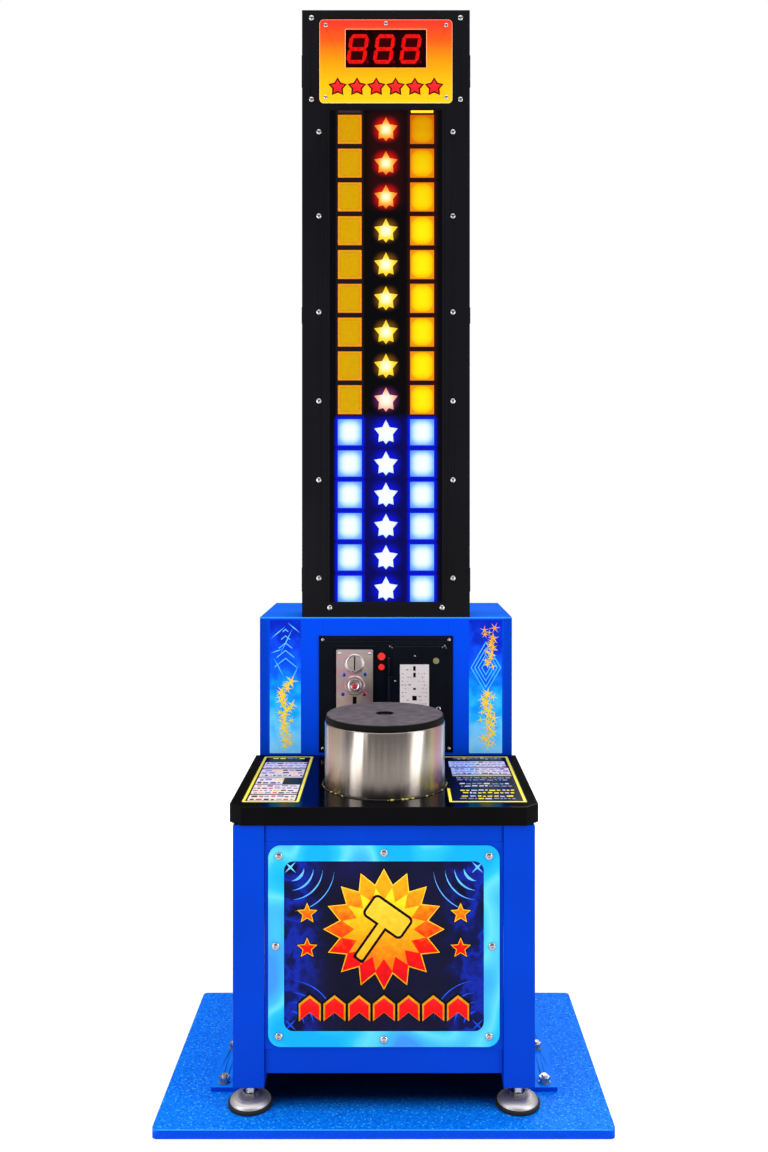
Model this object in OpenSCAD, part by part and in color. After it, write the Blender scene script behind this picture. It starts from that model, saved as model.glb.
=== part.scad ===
// Strength-tester arcade machine: a sprung striking drum in a low table, a coin cabinet
// behind it and a tall light tower. The front faces -Y and the floor is z = 0.

/* [Base plate] */
// Width of the base plate
plate_w = 860; // [780:1:960]
// Depth of the base plate
plate_depth = 540; // [520:1:600]
// Height of the plate's folded edge
plate_h = 18; // [14:1:24]
// Thickness of the plate's sheet
plate_sheet = 3; // [2:0.5:5]
// Corner radius of the plate
plate_corner_r = 10; // [4:1:20]
// Thickness of the stiffening ribs under the plate
plate_rib = 6; // [4:1:12]
// Distance from the plate's front edge to the front of the legs
plate_margin = 53; // [45:1:80]

/* [Base frame] */
// Width of the base over the legs
base_w = 575; // [540:1:620]
// Depth of the base over the legs
base_depth = 735; // [700:1:800]
// Side of the square legs
leg_side = 60; // [50:1:70]
// Wall of the square tubes
tube_wall = 3; // [2:0.5:5]
// Height of the legs' lower ends above the floor
leg_bottom_z = 64; // [58:1:80]
// Thickness of the threaded plate in each leg's lower end
leg_plate_t = 12; // [8:1:16]
// Thickness of the rails, across their length
rail_t = 30; // [25:1:40]
// Height of the bottom rails above the floor
bottom_rail_z = 90; // [80:1:100]
// Height of the bottom rails
bottom_rail_h = 46; // [40:1:60]
// Height of the top rails
top_rail_h = 66; // [50:1:80]
// Setback of the front rails and the hatch behind the legs
front_setback = 4; // [2:0.5:8]
// Side of the beams that carry the striking mechanism
beam_side = 40; // [30:1:50]
// Height of the beams' upper faces above the floor
beam_top_z = 510; // [480:1:520]
// Gap left at a welded seam
weld_gap = 0.2; // [0.1:0.05:0.4]
// Gap between a piece and the piece that it sits on
seat_gap = 0.3; // [0.2:0.05:0.5]

/* [Plate brackets] */
// Width of a bracket's foot on the base plate
bracket_foot = 60; // [45:1:75]
// Thickness of a bracket's foot
bracket_foot_t = 9; // [6:1:12]
// Thickness of a bracket's upright web
bracket_web_t = 6; // [4:1:8]
// Height of a bracket's upright web
bracket_web_h = 100; // [80:1:112]
// Length of a bracket
bracket_l = 400; // [340:1:410]
// Distance from the back of the front legs to the brackets
bracket_start = 11; // [9:1:30]
// Spacing of the bracket bolts
bracket_bolt_pitch = 129; // [110:1:140]
// Distance from a bracket's front end to its first bolt
bracket_bolt_inset = 18; // [14:1:30]
// Thread diameter of the bracket bolts
bracket_bolt_d = 12; // [10:1:14]

/* [Front panel] */
// Thickness of the removable front hatch and the side panels
panel_t = 2; // [1.5:0.5:3]
// Gap between the art panel and each leg
art_side_gap = 7.5; // [4:0.5:25]
// Gap between the art panel and each rail
art_rail_gap = 6.35; // [4:0.05:25]
// Thickness of the art panel
art_t = 2.7; // [2:0.1:4]
// Corner radius of the art panel
art_r = 24; // [10:1:40]
// Width of the art panel's metallic border
art_border = 30; // [20:1:40]
// Depth of the printed window inside the border
art_window_step = 0.8; // [0.4:0.1:1.2]
// Corner radius of the printed window
art_window_r = 18; // [8:1:30]
// Distance from the art panel's edge to its edge screws
art_screw_inset = 14; // [10:1:18]
// Distance from the art panel's edge to its corner screws
art_corner_inset = 20; // [14:1:24]
// Head diameter of the art panel's screws
art_screw_d = 15; // [10:1:18]

/* [Table] */
// Width of the table top
table_w = 592; // [590:1:640]
// Height of the table's upper face above the floor
table_z = 601; // [590:1:620]
// Height of the table's folded lip
table_lip = 36; // [25:1:50]
// Overhang of the lip in front of the legs
table_overhang = 7; // [6:1:20]
// Thickness of the table's sheet
table_sheet = 3; // [2:0.5:4]
// Chamfer of the table's front corners
table_chamfer = 25; // [10:1:40]

/* [Drum] */
// Outer diameter of the striking drum
drum_d = 246; // [230:1:256]
// Wall of the drum's steel sleeve
drum_wall = 3; // [2:0.5:5]
// Distance from the table's front edge to the drum's axis
drum_from_edge = 170; // [160:1:190]
// Height of the drum above the table
drum_rise = 129; // [110:1:150]
// Length of the sleeve from its top to its lower edge
sleeve_l = 170; // [150:1:180]
// Gap between the drum and its trim ring
drum_gap = 2; // [1:0.5:4]
// Width of the trim ring's flange
trim_w = 4; // [3:0.5:8]
// Thickness of the trim ring
trim_t = 2; // [1:0.5:3]
// Depth of the trim ring's collar in the table
trim_collar = 11; // [6:1:16]
// Thickness of the drum's steel head plate
head_t = 8; // [6:1:12]
// Diameter of the rubber pad
pad_d = 242; // [220:1:250]
// Thickness of the rubber pad
pad_h = 15; // [10:1:25]
// Radius of the pad's rounded upper edge
pad_edge_r = 6; // [3:0.5:8]
// Diameter of the hole in the middle of the pad
pad_hole_d = 36; // [30:1:50]

/* [Striking mechanism] */
// How far the drum travels when it is struck
travel = 20; // [10:1:24]
// Diameter of the plunger shaft
shaft_d = 40; // [30:1:44]
// Radial running clearance of the shaft in its bush, and of other turning fits
running_gap = 0.05; // [0.02:0.01:0.1]
// Length of the shaft below its guide
shaft_tail = 40; // [30:1:60]
// Outer diameter of the boss under the head plate
boss_d = 80; // [60:1:84]
// Height of the boss under the head plate
boss_h = 20; // [14:1:30]
// Wall of the bronze bush
bush_wall = 5; // [3:0.5:6]
// Wall of the guide housing's tube
housing_wall = 7; // [5:0.5:10]
// Length of the guide housing
housing_l = 100; // [80:1:120]
// Diameter of the guide housing's flange
flange_d = 160; // [154:1:180]
// Thickness of the guide housing's flange
flange_t = 12; // [8:1:16]
// Circle that the flange bolts lie on
flange_pcd = 136; // [134:1:144]
// Thread diameter of the flange bolts
flange_bolt_d = 10; // [8:1:12]
// Side of the plate that carries the mechanism
mech_plate_side = 200; // [190:1:230]
// Thickness of the plate that carries the mechanism
mech_plate_t = 8; // [6:1:12]
// Mean diameter of the return spring's coil
spring_d = 100; // [98:1:106]
// Diameter of the spring's wire
wire_d = 9; // [6:0.5:10]
// Turns of the spring between its closed ends
spring_turns = 6; // [4:1:7]
// Outer diameter of the buffer column
buffer_d = 76; // [66:1:80]
// Room between the shaft and the buffer column
buffer_gap = 2; // [1:0.5:4]
// Outer diameter of the shaft collar
collar_d = 60; // [54:1:64]
// Height of the shaft collar
collar_h = 20; // [14:1:24]

/* [Cabinet] */
// Depth of the coin cabinet
cabinet_depth = 335; // [300:1:360]
// Height of the cabinet's top above the floor
cabinet_top_z = 915; // [900:1:960]
// Thickness of the cabinet's sheet
sheet = 3; // [2:0.5:4]
// Recess of the cabinet's rear wall
rear_recess = 11; // [10:0.5:16]
// Width of the opening behind the coin panel
front_opening_w = 284; // [276:1:290]
// Height of the opening behind the coin panel
front_opening_h = 250; // [240:1:256]
// Width of the rear door's opening
rear_opening_w = 400; // [340:1:430]
// Height of the rear door's opening
rear_opening_h = 240; // [200:1:250]
// Height of the rear opening's lower edge above the floor
rear_opening_z = 640; // [630:1:650]
// Overlap of a door on the wall round its opening
door_overlap = 8; // [6:1:12]

/* [Coin panel] */
// Width of the black coin panel
coin_panel_w = 306; // [296:1:320]
// Height of the black coin panel
coin_panel_h = 266; // [262:1:268]
// Height of the coin panel's lower edge above the table
coin_panel_rise = 6; // [3:1:10]
// Thickness of the coin panel
coin_panel_t = 4; // [3:0.5:6]
// Bevel step along the coin panel's edge
coin_panel_step = 5; // [3:1:8]
// Width of the coin faceplate
faceplate_w = 83; // [76:1:86]
// Height of the coin faceplate
faceplate_h = 163; // [158:1:170]
// Thickness of the coin faceplate
faceplate_t = 4; // [3:0.5:6]
// Distance from the middle of the machine to the faceplate's middle
faceplate_x = 71; // [69:1:74]
// Height of the faceplate's middle above the floor
faceplate_z = 761; // [756:1:764]
// Diameter of the round bosses on the faceplate
boss_ring_d = 47; // [42:1:48]
// Distance between the two bosses
boss_pitch = 49; // [49:0.5:54]
// Height of the bosses above the faceplate
boss_ring_t = 3; // [2:0.5:5]
// Width of the coin slot
coin_slot_w = 3; // [2.5:0.1:3.5]
// Height of the coin slot
coin_slot_h = 38; // [30:1:40]
// Width of the coin return opening
return_slot_w = 9; // [7:0.5:12]
// Height of the coin return opening
return_slot_h = 34; // [30:1:36]
// Depth of the pocket behind the coin return opening
return_pocket = 30; // [20:1:36]
// Diameter of the coin return button
return_button_d = 32; // [26:1:36]
// Travel of the coin return button
return_travel = 4; // [2:0.5:5]
// Diameter of the upper red button
credit_button_d = 17; // [12:0.5:18]
// Diameter of the lower red button
test_button_d = 14; // [10:0.5:16]
// Travel of the red buttons
button_travel = 3; // [2:0.5:3.5]
// Distance from the middle of the machine to the red buttons
button_x = 10; // [9.5:0.5:12]
// Height of the upper red button above the floor
credit_button_z = 827; // [824:1:830]
// Distance between the red buttons
button_pitch = 24; // [22:1:30]
// Depth of the coin mechanism
coin_mech_depth = 70; // [50:1:90]

/* [Service door] */
// Width of the service door
door_w = 127; // [124:1:129]
// Height of the service door
door_h = 233; // [226:1:236]
// Distance from the middle of the machine to the door's hinge side
door_x = 11; // [10.5:0.5:13]
// Height of the door's lower edge above the table
door_rise = 21; // [19:1:24]
// Thickness of the service door
door_t = 3.5; // [3:0.1:4.5]
// Corner radius of the service door
door_r = 7; // [4:1:12]
// Diameter of the hinge knuckles
knuckle_d = 6.4; // [5.6:0.2:7]
// Diameter of the hinge pin
hinge_pin_d = 3; // [2:0.5:3.5]
// Length of the service door's hinge
hinge_l = 170; // [140:1:190]
// Diameter of the door lock's barrel
lock_d = 12; // [10:1:16]
// Distance from the door's free edge to the lock
lock_inset = 24; // [22:1:27]
// Distance from the door's upper edge to the lock
lock_drop = 38; // [34:1:44]
// Length of the lock's cam
cam_l = 25; // [23:1:26]
// Width of the lock's cam
cam_w = 12; // [8:1:14]
// Thickness of the lock's cam
cam_t = 2; // [1.5:0.5:3]
// Width of the information plate
info_w = 66; // [60:1:70]
// Height of the information plate
info_h = 118; // [110:1:124]
// Thickness of the information plate
info_t = 1.5; // [1:0.5:2]

/* [Electronics] */
// Width of the power supply
supply_w = 98; // [80:1:110]
// Length of the power supply
supply_l = 120; // [100:1:140]
// Height of the power supply
supply_h = 42; // [34:1:50]
// Distance from the cabinet's front to the power supply
supply_place = 175; // [160:1:185]
// Length of the control board
board_l = 190; // [180:1:210]
// Height of the control board
board_h = 150; // [130:1:170]
// Distance from the cabinet's front to the control board
board_place = 90; // [60:1:100]
// Height of the control board's lower edge above the table
board_rise = 70; // [40:1:90]

/* [Rear door] */
// Thickness of the rear door
rear_door_t = 3; // [2:0.5:3.5]
// Diameter of the rear hinge's knuckles
rear_knuckle_d = 9; // [8:0.5:9.5]
// Diameter of the rear hinge's pin
rear_pin_d = 4; // [3:0.5:5]
// Length of the rear hinge
rear_hinge_l = 200; // [160:1:220]
// Diameter of the rear lock's barrel
rear_lock_d = 19; // [16:1:22]
// Distance from the rear door's free edge to the lock
rear_lock_inset = 24; // [22:1:28]

/* [Tower] */
// Width of the light tower
tower_w = 383; // [360:1:420]
// Depth of the light tower
tower_depth = 150; // [120:1:200]
// Height of the tower's top above the floor
tower_top_z = 2300; // [2280:1:2360]
// Height of the head above the light panel
head_h = 220; // [214:1:230]
// Thickness of the tower's front plates
front_t = 3; // [2:0.5:4]
// Width of the light window
window_w = 256; // [250:1:280]
// Width of the recessed step round the light window
window_step = 8; // [5:1:12]
// Height of the light window's lower edge above the cabinet
window_rise = 27; // [24:1:32]
// Head diameter of the tower's screws
tower_screw_d = 12; // [9:1:14]
// Distance from the middle of the tower to the front frame's screws
frame_screw_x = 153; // [146:1:160]
// Distance from the middle of the tower to the head plate's screws
head_screw_x = 170; // [166:1:176]
// Height that the side louvres stand proud
louvre_proud = 2.5; // [1.5:0.5:3]

/* [Lights] */
// Distance between the three columns of lights
column_pitch = 82.6; // [80:0.1:86]
// Width of a square light
light_w = 54; // [50:1:56]
// Height of an amber light
amber_h = 66; // [60:1:68]
// Height of a blue light
blue_h = 59; // [54:1:61]
// Distance between the rows of amber lights
amber_pitch = 77.2; // [76:0.1:78]
// Distance between the rows of blue lights
blue_pitch = 71.6; // [71:0.1:72.6]
// Height of the lowest blue row above the cabinet
blue_row_rise = 64.4; // [62:0.1:68]
// Distance from the highest blue row to the lowest amber row
row_change = 74.2; // [73.6:0.1:75]
// Rows of amber lights
amber_rows = 10; // [8:1:10]
// Rows of blue lights
blue_rows = 6; // [4:1:6]
// Height of a star light from point to point
star_h = 56; // [48:1:58]
// Thickness of the light panel
light_panel_t = 4; // [3:0.5:6]
// Flange round the back of each lens
lens_flange = 2.6; // [1.5:0.1:3]
// Thickness of a lens's flange
lens_flange_t = 2; // [1.5:0.5:3]
// Gap round a lens in the light panel
lens_gap = 0.3; // [0.2:0.05:0.5]
// Distance from the light panel to the LED boards
led_distance = 26; // [18:1:40]
// Width of an LED board
led_board_w = 40; // [30:1:50]
// Thickness of a circuit board
board_t = 1.6; // [1.2:0.2:2]

/* [Head] */
// Width of the marquee panel
marquee_w = 303; // [290:1:320]
// Height of the marquee panel
marquee_h = 190; // [184:1:196]
// Thickness of the marquee panel
marquee_t = 3; // [2:0.5:5]
// Corner radius of the marquee panel
marquee_r = 10; // [6:1:16]
// Width of the score display
display_w = 188; // [180:1:196]
// Height of the score display
display_h = 92; // [84:1:96]
// Height of the display's middle above the marquee's middle
display_lift = 29; // [26:1:32]
// Depth of the display's housing
display_depth = 28; // [20:1:40]
// Height of a digit
digit_h = 67; // [60:1:72]
// Width of a digit
digit_w = 40; // [36:1:44]
// Distance between the digits
digit_pitch = 60.2; // [56:0.1:62]
// Width of a digit's segments
segment_w = 8.5; // [6:0.5:10]
// Slant of the digits
digit_slant = 8; // [0:1:12]

/* [Feet] */
// Diameter of a foot's pad
foot_d = 86; // [80:1:87]
// Height of a foot's pad
foot_h = 20; // [16:1:24]
// Diameter of a foot's threaded stem
stem_d = 19; // [14:1:21]
// Height of the stem's hexagon
hex_h = 6; // [4:1:8]
// Length of the stem inside the leg
stem_in_leg = 50; // [40:1:60]

/* [Hidden] */
$fn = 64;

// Planes from front to back
foot_overhang = max(0, (foot_d - leg_side) / 2);
total_depth = plate_margin + base_depth + foot_overhang;
front_y = -total_depth / 2;
rear_y = front_y + plate_margin + base_depth;
base_y = front_y + plate_margin;
table_y = base_y - table_overhang;
cabinet_y = rear_y - cabinet_depth;
drum_y = table_y + drum_from_edge;
rear_wall_y = rear_y - rear_recess - sheet;
hatch_y = base_y + front_setback;
art_y = hatch_y - art_t;
coin_panel_y = cabinet_y - coin_panel_t;
faceplate_y = coin_panel_y - faceplate_t;
door_y = coin_panel_y - seat_gap - door_t;
rear_door_y = rear_wall_y + sheet + seat_gap;
side_rail_x = base_w / 2 - bracket_web_t - weld_gap;
leg_x = base_w / 2 - leg_side / 2;
leg_front_y = base_y + leg_side / 2;
leg_rear_y = rear_y - leg_side / 2;

// Levels from the floor up
frame_top_z = table_z - table_sheet - seat_gap;
cabinet_floor_z = table_z - table_sheet;
shell_z = table_z + weld_gap;
top_rail_z = frame_top_z - top_rail_h;
bottom_rail_top_z = bottom_rail_z + bottom_rail_h;
drum_top_z = table_z + drum_rise;
head_z = drum_top_z - head_t;
boss_z = head_z - boss_h;
mech_plate_z = beam_top_z + weld_gap;
flange_z = mech_plate_z + mech_plate_t;
flange_top_z = flange_z + flange_t;
housing_z = flange_top_z - housing_l;
collar_top_z = housing_z - seat_gap;
collar_z = collar_top_z - collar_h;
shaft_z = housing_z - shaft_tail;
tower_z = cabinet_top_z;
head_bottom_z = tower_top_z - head_h;
window_z = tower_z + window_rise;
marquee_z = head_bottom_z + head_h / 2 - 8;

// Side of the hexagon across its corners, for a width across its flats
function across_corners(flats) = flats / cos(30);

// Solid block between two opposite corners
module block(low, high) {
    translate(low) cube(high - low);
}

// The same block on both sides of the machine
module both_sides() {
    children();
    mirror([1, 0, 0]) children();
}

// Square tube between two corners, open along the given direction
module square_tube(low, high, along) {
    across = tube_wall * ([1, 1, 1] - along);
    difference() {
        block(low, high);
        block(low + across - along, high - across + along);
    }
}

// Flat rectangle with round corners, centred
module round_rect(w, h, r) {
    square([w - 2 * r, h], center = true);
    square([w, h - 2 * r], center = true);
    for (x = [-1, 1], y = [-1, 1]) translate([x * (w / 2 - r), y * (h / 2 - r)]) circle(r);
}

// Plate in the X-Z plane, drawn as a flat outline seen from the front, with its front face at y
module upright_plate(y, t) {
    translate([0, y + t, 0]) rotate([90, 0, 0]) linear_extrude(t) children();
}

// Cylinder along Y from its front end at y
module peg(x, y, z, d, l) {
    translate([x, y + l, z]) rotate([90, 0, 0]) cylinder(h = l, d = d);
}

// Ring round the drum's axis
module ring(z, h, outer_d, inner_d) {
    translate([0, drum_y, z]) difference() {
        cylinder(h = h, d = outer_d);
        translate([0, 0, -1]) cylinder(h = h + 2, d = inner_d);
    }
}

// Base plate: a folded steel tray with ribs underneath
rib_cells = [5, 3];
module base_plate() {
    cell = [(plate_w - plate_rib * (rib_cells[0] + 1)) / rib_cells[0],
            (plate_depth - plate_rib * (rib_cells[1] + 1)) / rib_cells[1]];
    color("dodgerblue") difference() {
        translate([0, front_y + plate_depth / 2, 0]) linear_extrude(plate_h)
            round_rect(plate_w, plate_depth, plate_corner_r);
        for (i = [0 : rib_cells[0] - 1], j = [0 : rib_cells[1] - 1])
            translate([-plate_w / 2 + plate_rib + i * (cell[0] + plate_rib),
                       front_y + plate_rib + j * (cell[1] + plate_rib), -1])
                cube([cell[0], cell[1], plate_h - plate_sheet + 1]);
    }
}

// Base frame: legs, rails and the beams under the drum
module leg(y) {
    difference() {
        block([leg_x - leg_side / 2, y - leg_side / 2, leg_bottom_z],
              [leg_x + leg_side / 2, y + leg_side / 2, frame_top_z]);
        block([leg_x - leg_side / 2 + tube_wall, y - leg_side / 2 + tube_wall, leg_bottom_z + leg_plate_t],
              [leg_x + leg_side / 2 - tube_wall, y + leg_side / 2 - tube_wall, frame_top_z + 1]);
        translate([leg_x, y, leg_bottom_z - 1])
            cylinder(h = leg_plate_t + 2, d = stem_d + 2 * running_gap);
    }
}
// What the corners of the folded table top keep free of the legs
module corner_room() {
    translate([0, 0, table_z - table_lip - seat_gap]) linear_extrude(table_lip) difference() {
        translate([0, base_y]) square([2 * table_w, 2 * leg_side], center = true);
        table_outline(table_sheet + seat_gap);
    }
}
module base_frame() {
    cross_x = leg_x - leg_side / 2 - weld_gap;
    side_y = [base_y + leg_side + weld_gap, rear_y - leg_side - weld_gap];
    rear_rail_y = rear_y - front_setback - panel_t - seat_gap;
    levels = [[bottom_rail_z, bottom_rail_top_z], [top_rail_z, frame_top_z]];
    mid_top_z = beam_top_z - beam_side - weld_gap;
    color("royalblue") {
        both_sides() {
            difference() {
                leg(leg_front_y);
                corner_room();
            }
            leg(leg_rear_y);
            for (z = levels)
                square_tube([side_rail_x - rail_t, side_y[0], z[0]],
                            [side_rail_x, side_y[1], z[1]], [0, 1, 0]);
            square_tube([side_rail_x - rail_t, side_y[0], mid_top_z - beam_side],
                        [side_rail_x, side_y[1], mid_top_z], [0, 1, 0]);
        }
        for (z = levels) {
            front_rail_y = hatch_y + (z[0] == bottom_rail_z ? panel_t + seat_gap : 0);
            square_tube([-cross_x, front_rail_y, z[0]], [cross_x, front_rail_y + rail_t, z[1]], [1, 0, 0]);
            square_tube([-cross_x, rear_rail_y - rail_t, z[0]], [cross_x, rear_rail_y, z[1]], [1, 0, 0]);
        }
        for (side = [-1, 1]) {
            y = drum_y + side * (mech_plate_side - beam_side) / 2;
            square_tube([-side_rail_x, y - beam_side / 2, beam_top_z - beam_side],
                        [side_rail_x, y + beam_side / 2, beam_top_z], [1, 0, 0]);
        }
        translate([0, drum_y, mech_plate_z]) difference() {
            translate([-mech_plate_side / 2, -mech_plate_side / 2, 0])
                cube([mech_plate_side, mech_plate_side, mech_plate_t]);
            translate([0, 0, -1]) cylinder(h = mech_plate_t + 2, d = housing_d + 2 * seat_gap);
            for (a = flange_bolt_angles) rotate(a) translate([flange_pcd / 2, 0, -1])
                cylinder(h = mech_plate_t + 2, d = flange_bolt_d + 2 * seat_gap);
        }
    }
}

// Brackets: angle strips that tie the base to the plate
bracket_y = base_y + leg_side + bracket_start;
bracket_bolt_x = base_w / 2 + bracket_foot / 2;
bracket_bolts = [for (i = [0 : 2]) bracket_y + bracket_bolt_inset + i * bracket_bolt_pitch];
module plate_brackets() {
    inner_x = base_w / 2 - bracket_web_t;
    color("royalblue") both_sides() difference() {
        union() {
            block([inner_x, bracket_y, plate_h],
                  [inner_x + bracket_foot, bracket_y + bracket_l, plate_h + bracket_foot_t]);
            block([inner_x, bracket_y, plate_h],
                  [base_w / 2, bracket_y + bracket_l, plate_h + bracket_web_h]);
        }
        for (y = bracket_bolts) translate([bracket_bolt_x, y, plate_h - 1])
            cylinder(h = bracket_foot_t + 2, d = bracket_bolt_d + 2 * seat_gap);
    }
}

// Bolts: washers and nuts on the brackets, hexagon heads on the guide's flange
module bolt_and_nut(d, shank, washer_d, flats, nut_h, proud) {
    cylinder(h = d / 5, d = washer_d);
    translate([0, 0, d / 5]) cylinder(h = nut_h, d = across_corners(flats), $fn = 6);
    translate([0, 0, -shank]) cylinder(h = shank + d / 5 + nut_h + proud, d = d);
}
flange_bolt_angles = [45, 135, 225, 315];
module hex_bolts() {
    color("silver") {
        both_sides() for (y = bracket_bolts)
            translate([bracket_bolt_x, y, plate_h + bracket_foot_t])
                bolt_and_nut(bracket_bolt_d, bracket_foot_t, bracket_bolt_d * 1.9,
                             bracket_bolt_d * 1.55, bracket_bolt_d * 0.8, bracket_bolt_d / 3);
        for (a = flange_bolt_angles)
            translate([0, drum_y, flange_top_z]) rotate(a) translate([flange_pcd / 2, 0, 0])
                bolt_and_nut(flange_bolt_d, flange_t + mech_plate_t, flange_bolt_d * 1.9,
                             flange_bolt_d * 1.6, flange_bolt_d * 0.64, 0);
    }
}

// Front hatch behind the art panel
module front_hatch() {
    half = leg_x - leg_side / 2 - seat_gap;
    color("royalblue") difference() {
        block([-half, hatch_y, bottom_rail_top_z + seat_gap],
              [half, hatch_y + panel_t, top_rail_z - seat_gap]);
        art_screw_places() peg(0, hatch_y - 1, 0, art_screw_d * 0.5, panel_t + 2);
    }
}

// Art panel: raised metallic border round a printed window
art_z = (bottom_rail_top_z + top_rail_z) / 2;
art_w = base_w - 2 * (leg_side + art_side_gap);
art_h = top_rail_z - bottom_rail_top_z - 2 * art_rail_gap;
module art_screw_places() {
    corner = [art_w / 2 - art_corner_inset, art_h / 2 - art_corner_inset];
    edge = [art_w / 2 - art_screw_inset, art_h / 2 - art_screw_inset];
    places = [for (x = [-1, 1], z = [-1, 1]) [x * corner[0], z * corner[1]],
              [-edge[0], 0], [edge[0], 0], [0, -edge[1]], [0, edge[1]]];
    for (p = places) translate([p[0], 0, art_z + p[1]]) children();
}
module art_panel() {
    color("lightskyblue") difference() {
        translate([0, 0, art_z]) upright_plate(art_y, art_t) round_rect(art_w, art_h, art_r);
        translate([0, 0, art_z]) upright_plate(art_y - 1, 1 + art_window_step)
            round_rect(art_w - 2 * art_border, art_h - 2 * art_border, art_window_r);
        art_screw_places() peg(0, art_y - 1, 0, art_screw_d * 0.5, art_t + 2);
    }
}

// Panels on the sides and the back of the base
base_panel_z = [bottom_rail_top_z + seat_gap, frame_top_z - 8];
inlet_z = 450;
inlet_x = 150;
inlet_w = 28;
inlet_h = 32;
module base_panels() {
    half = leg_x - leg_side / 2 - seat_gap;
    rear_panel_y = rear_y - front_setback - panel_t;
    side_x = side_rail_x + seat_gap;
    color("royalblue") {
        both_sides() block([side_x, base_y + leg_side + seat_gap, base_panel_z[0]],
                           [side_x + panel_t, rear_y - leg_side - seat_gap, base_panel_z[1]]);
        difference() {
            block([-half, rear_panel_y, base_panel_z[0]], [half, rear_panel_y + panel_t, base_panel_z[1]]);
            block([inlet_x - inlet_w / 2 - seat_gap, rear_panel_y - 1, inlet_z - inlet_h / 2 - seat_gap],
                  [inlet_x + inlet_w / 2 + seat_gap, rear_panel_y + panel_t + 1,
                   inlet_z + inlet_h / 2 + seat_gap]);
        }
    }
}

// Table top: folded sheet with a lip and the drum's hole
module table_outline(inset) {
    x = table_w / 2 - inset;
    y = table_y + inset;
    c = table_chamfer - inset * (2 - sqrt(2));
    polygon([[-x, cabinet_y - seat_gap], [-x, y + c], [-x + c, y], [x - c, y], [x, y + c],
             [x, cabinet_y - seat_gap]]);
}
table_hole_d = drum_d + 2 * (drum_gap + trim_t);
module table_top() {
    color([0.06, 0.06, 0.08]) difference() {
        translate([0, 0, table_z - table_lip]) linear_extrude(table_lip) table_outline(0);
        translate([0, 0, table_z - table_lip - 1]) linear_extrude(table_lip - table_sheet + 1) {
            table_outline(table_sheet);
            translate([-table_w / 2 + table_sheet, cabinet_y - table_lip])
                square([table_w - 2 * table_sheet, table_lip]);
        }
        translate([0, drum_y, table_z - table_lip]) cylinder(h = table_lip + 1, d = table_hole_d);
    }
}

// Trim ring that lines the drum's hole
module drum_trim() {
    inner = drum_d / 2 + drum_gap;
    collar = inner + trim_t - weld_gap;
    color([0.1, 0.1, 0.1]) translate([0, drum_y, table_z]) rotate_extrude()
        polygon([[inner, -trim_collar], [collar, -trim_collar], [collar, 0],
                 [inner + trim_w, 0], [inner + trim_w, trim_t / 2], [inner + trim_w - trim_t / 2, trim_t],
                 [inner, trim_t]]);
}

// Guide housing: the flanged tube that carries the bush
bush_d = shaft_d + 2 * (running_gap + bush_wall);
housing_bore = bush_d + 2 * running_gap;
housing_d = housing_bore + 2 * housing_wall;
module guide_housing() {
    color("slategray") difference() {
        union() {
            translate([0, drum_y, flange_z]) cylinder(h = flange_t, d = flange_d);
            translate([0, drum_y, housing_z]) cylinder(h = housing_l, d = housing_d);
        }
        translate([0, drum_y, housing_z - 1]) cylinder(h = housing_l + 2, d = housing_bore);
        for (a = flange_bolt_angles) translate([0, drum_y, flange_z - 1]) rotate(a)
            translate([flange_pcd / 2, 0, 0]) cylinder(h = flange_t + 2, d = flange_bolt_d + 2 * seat_gap);
    }
}

// Bronze bush in the guide housing
module guide_bush() {
    color("peru") ring(housing_z, housing_l, bush_d, shaft_d + 2 * running_gap);
}

// Buffer column: the elastomer stop that ends the stroke
buffer_bore = shaft_d + 2 * buffer_gap;
buffer_end_room = 0.5;
module buffer_column() {
    height = boss_z - travel - buffer_end_room - flange_top_z;
    groove_d = 6;
    color("darkorange") difference() {
        ring(flange_top_z, height, buffer_d, buffer_bore);
        for (i = [1 : 4]) translate([0, drum_y, flange_top_z + i * height / 5]) rotate_extrude()
            translate([buffer_d / 2 + groove_d / 4, 0]) circle(d = groove_d, $fn = 24);
    }
}

// Strike sensor: a forked light barrier on a bracket beside the collar's flag
flag_reach = 30;
flag_t = 3;
flag_z = collar_z + collar_h / 2;
module strike_sensor() {
    fork_x = [collar_d / 2 + 18, collar_d / 2 + 45];
    fork_wall = 6;
    slot = 8;
    beam_y = drum_y - (mech_plate_side - beam_side) / 2 + beam_side / 2 + seat_gap;
    color([0.2, 0.2, 0.22]) {
        difference() {
            block([fork_x[0], drum_y - slot / 2 - fork_wall, flag_z - 15],
                  [fork_x[1], drum_y + slot / 2 + fork_wall, flag_z + 15]);
            block([fork_x[0] - 1, drum_y - slot / 2, flag_z - 16],
                  [fork_x[1] - 12, drum_y + slot / 2, flag_z + 16]);
        }
        block([fork_x[0], beam_y, flag_z - 15], [fork_x[1], drum_y - slot / 2 - fork_wall, flag_z - 12]);
        block([fork_x[0], beam_y, flag_z - 15], [fork_x[1], beam_y + 3, beam_top_z - 5]);
    }
}

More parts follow.
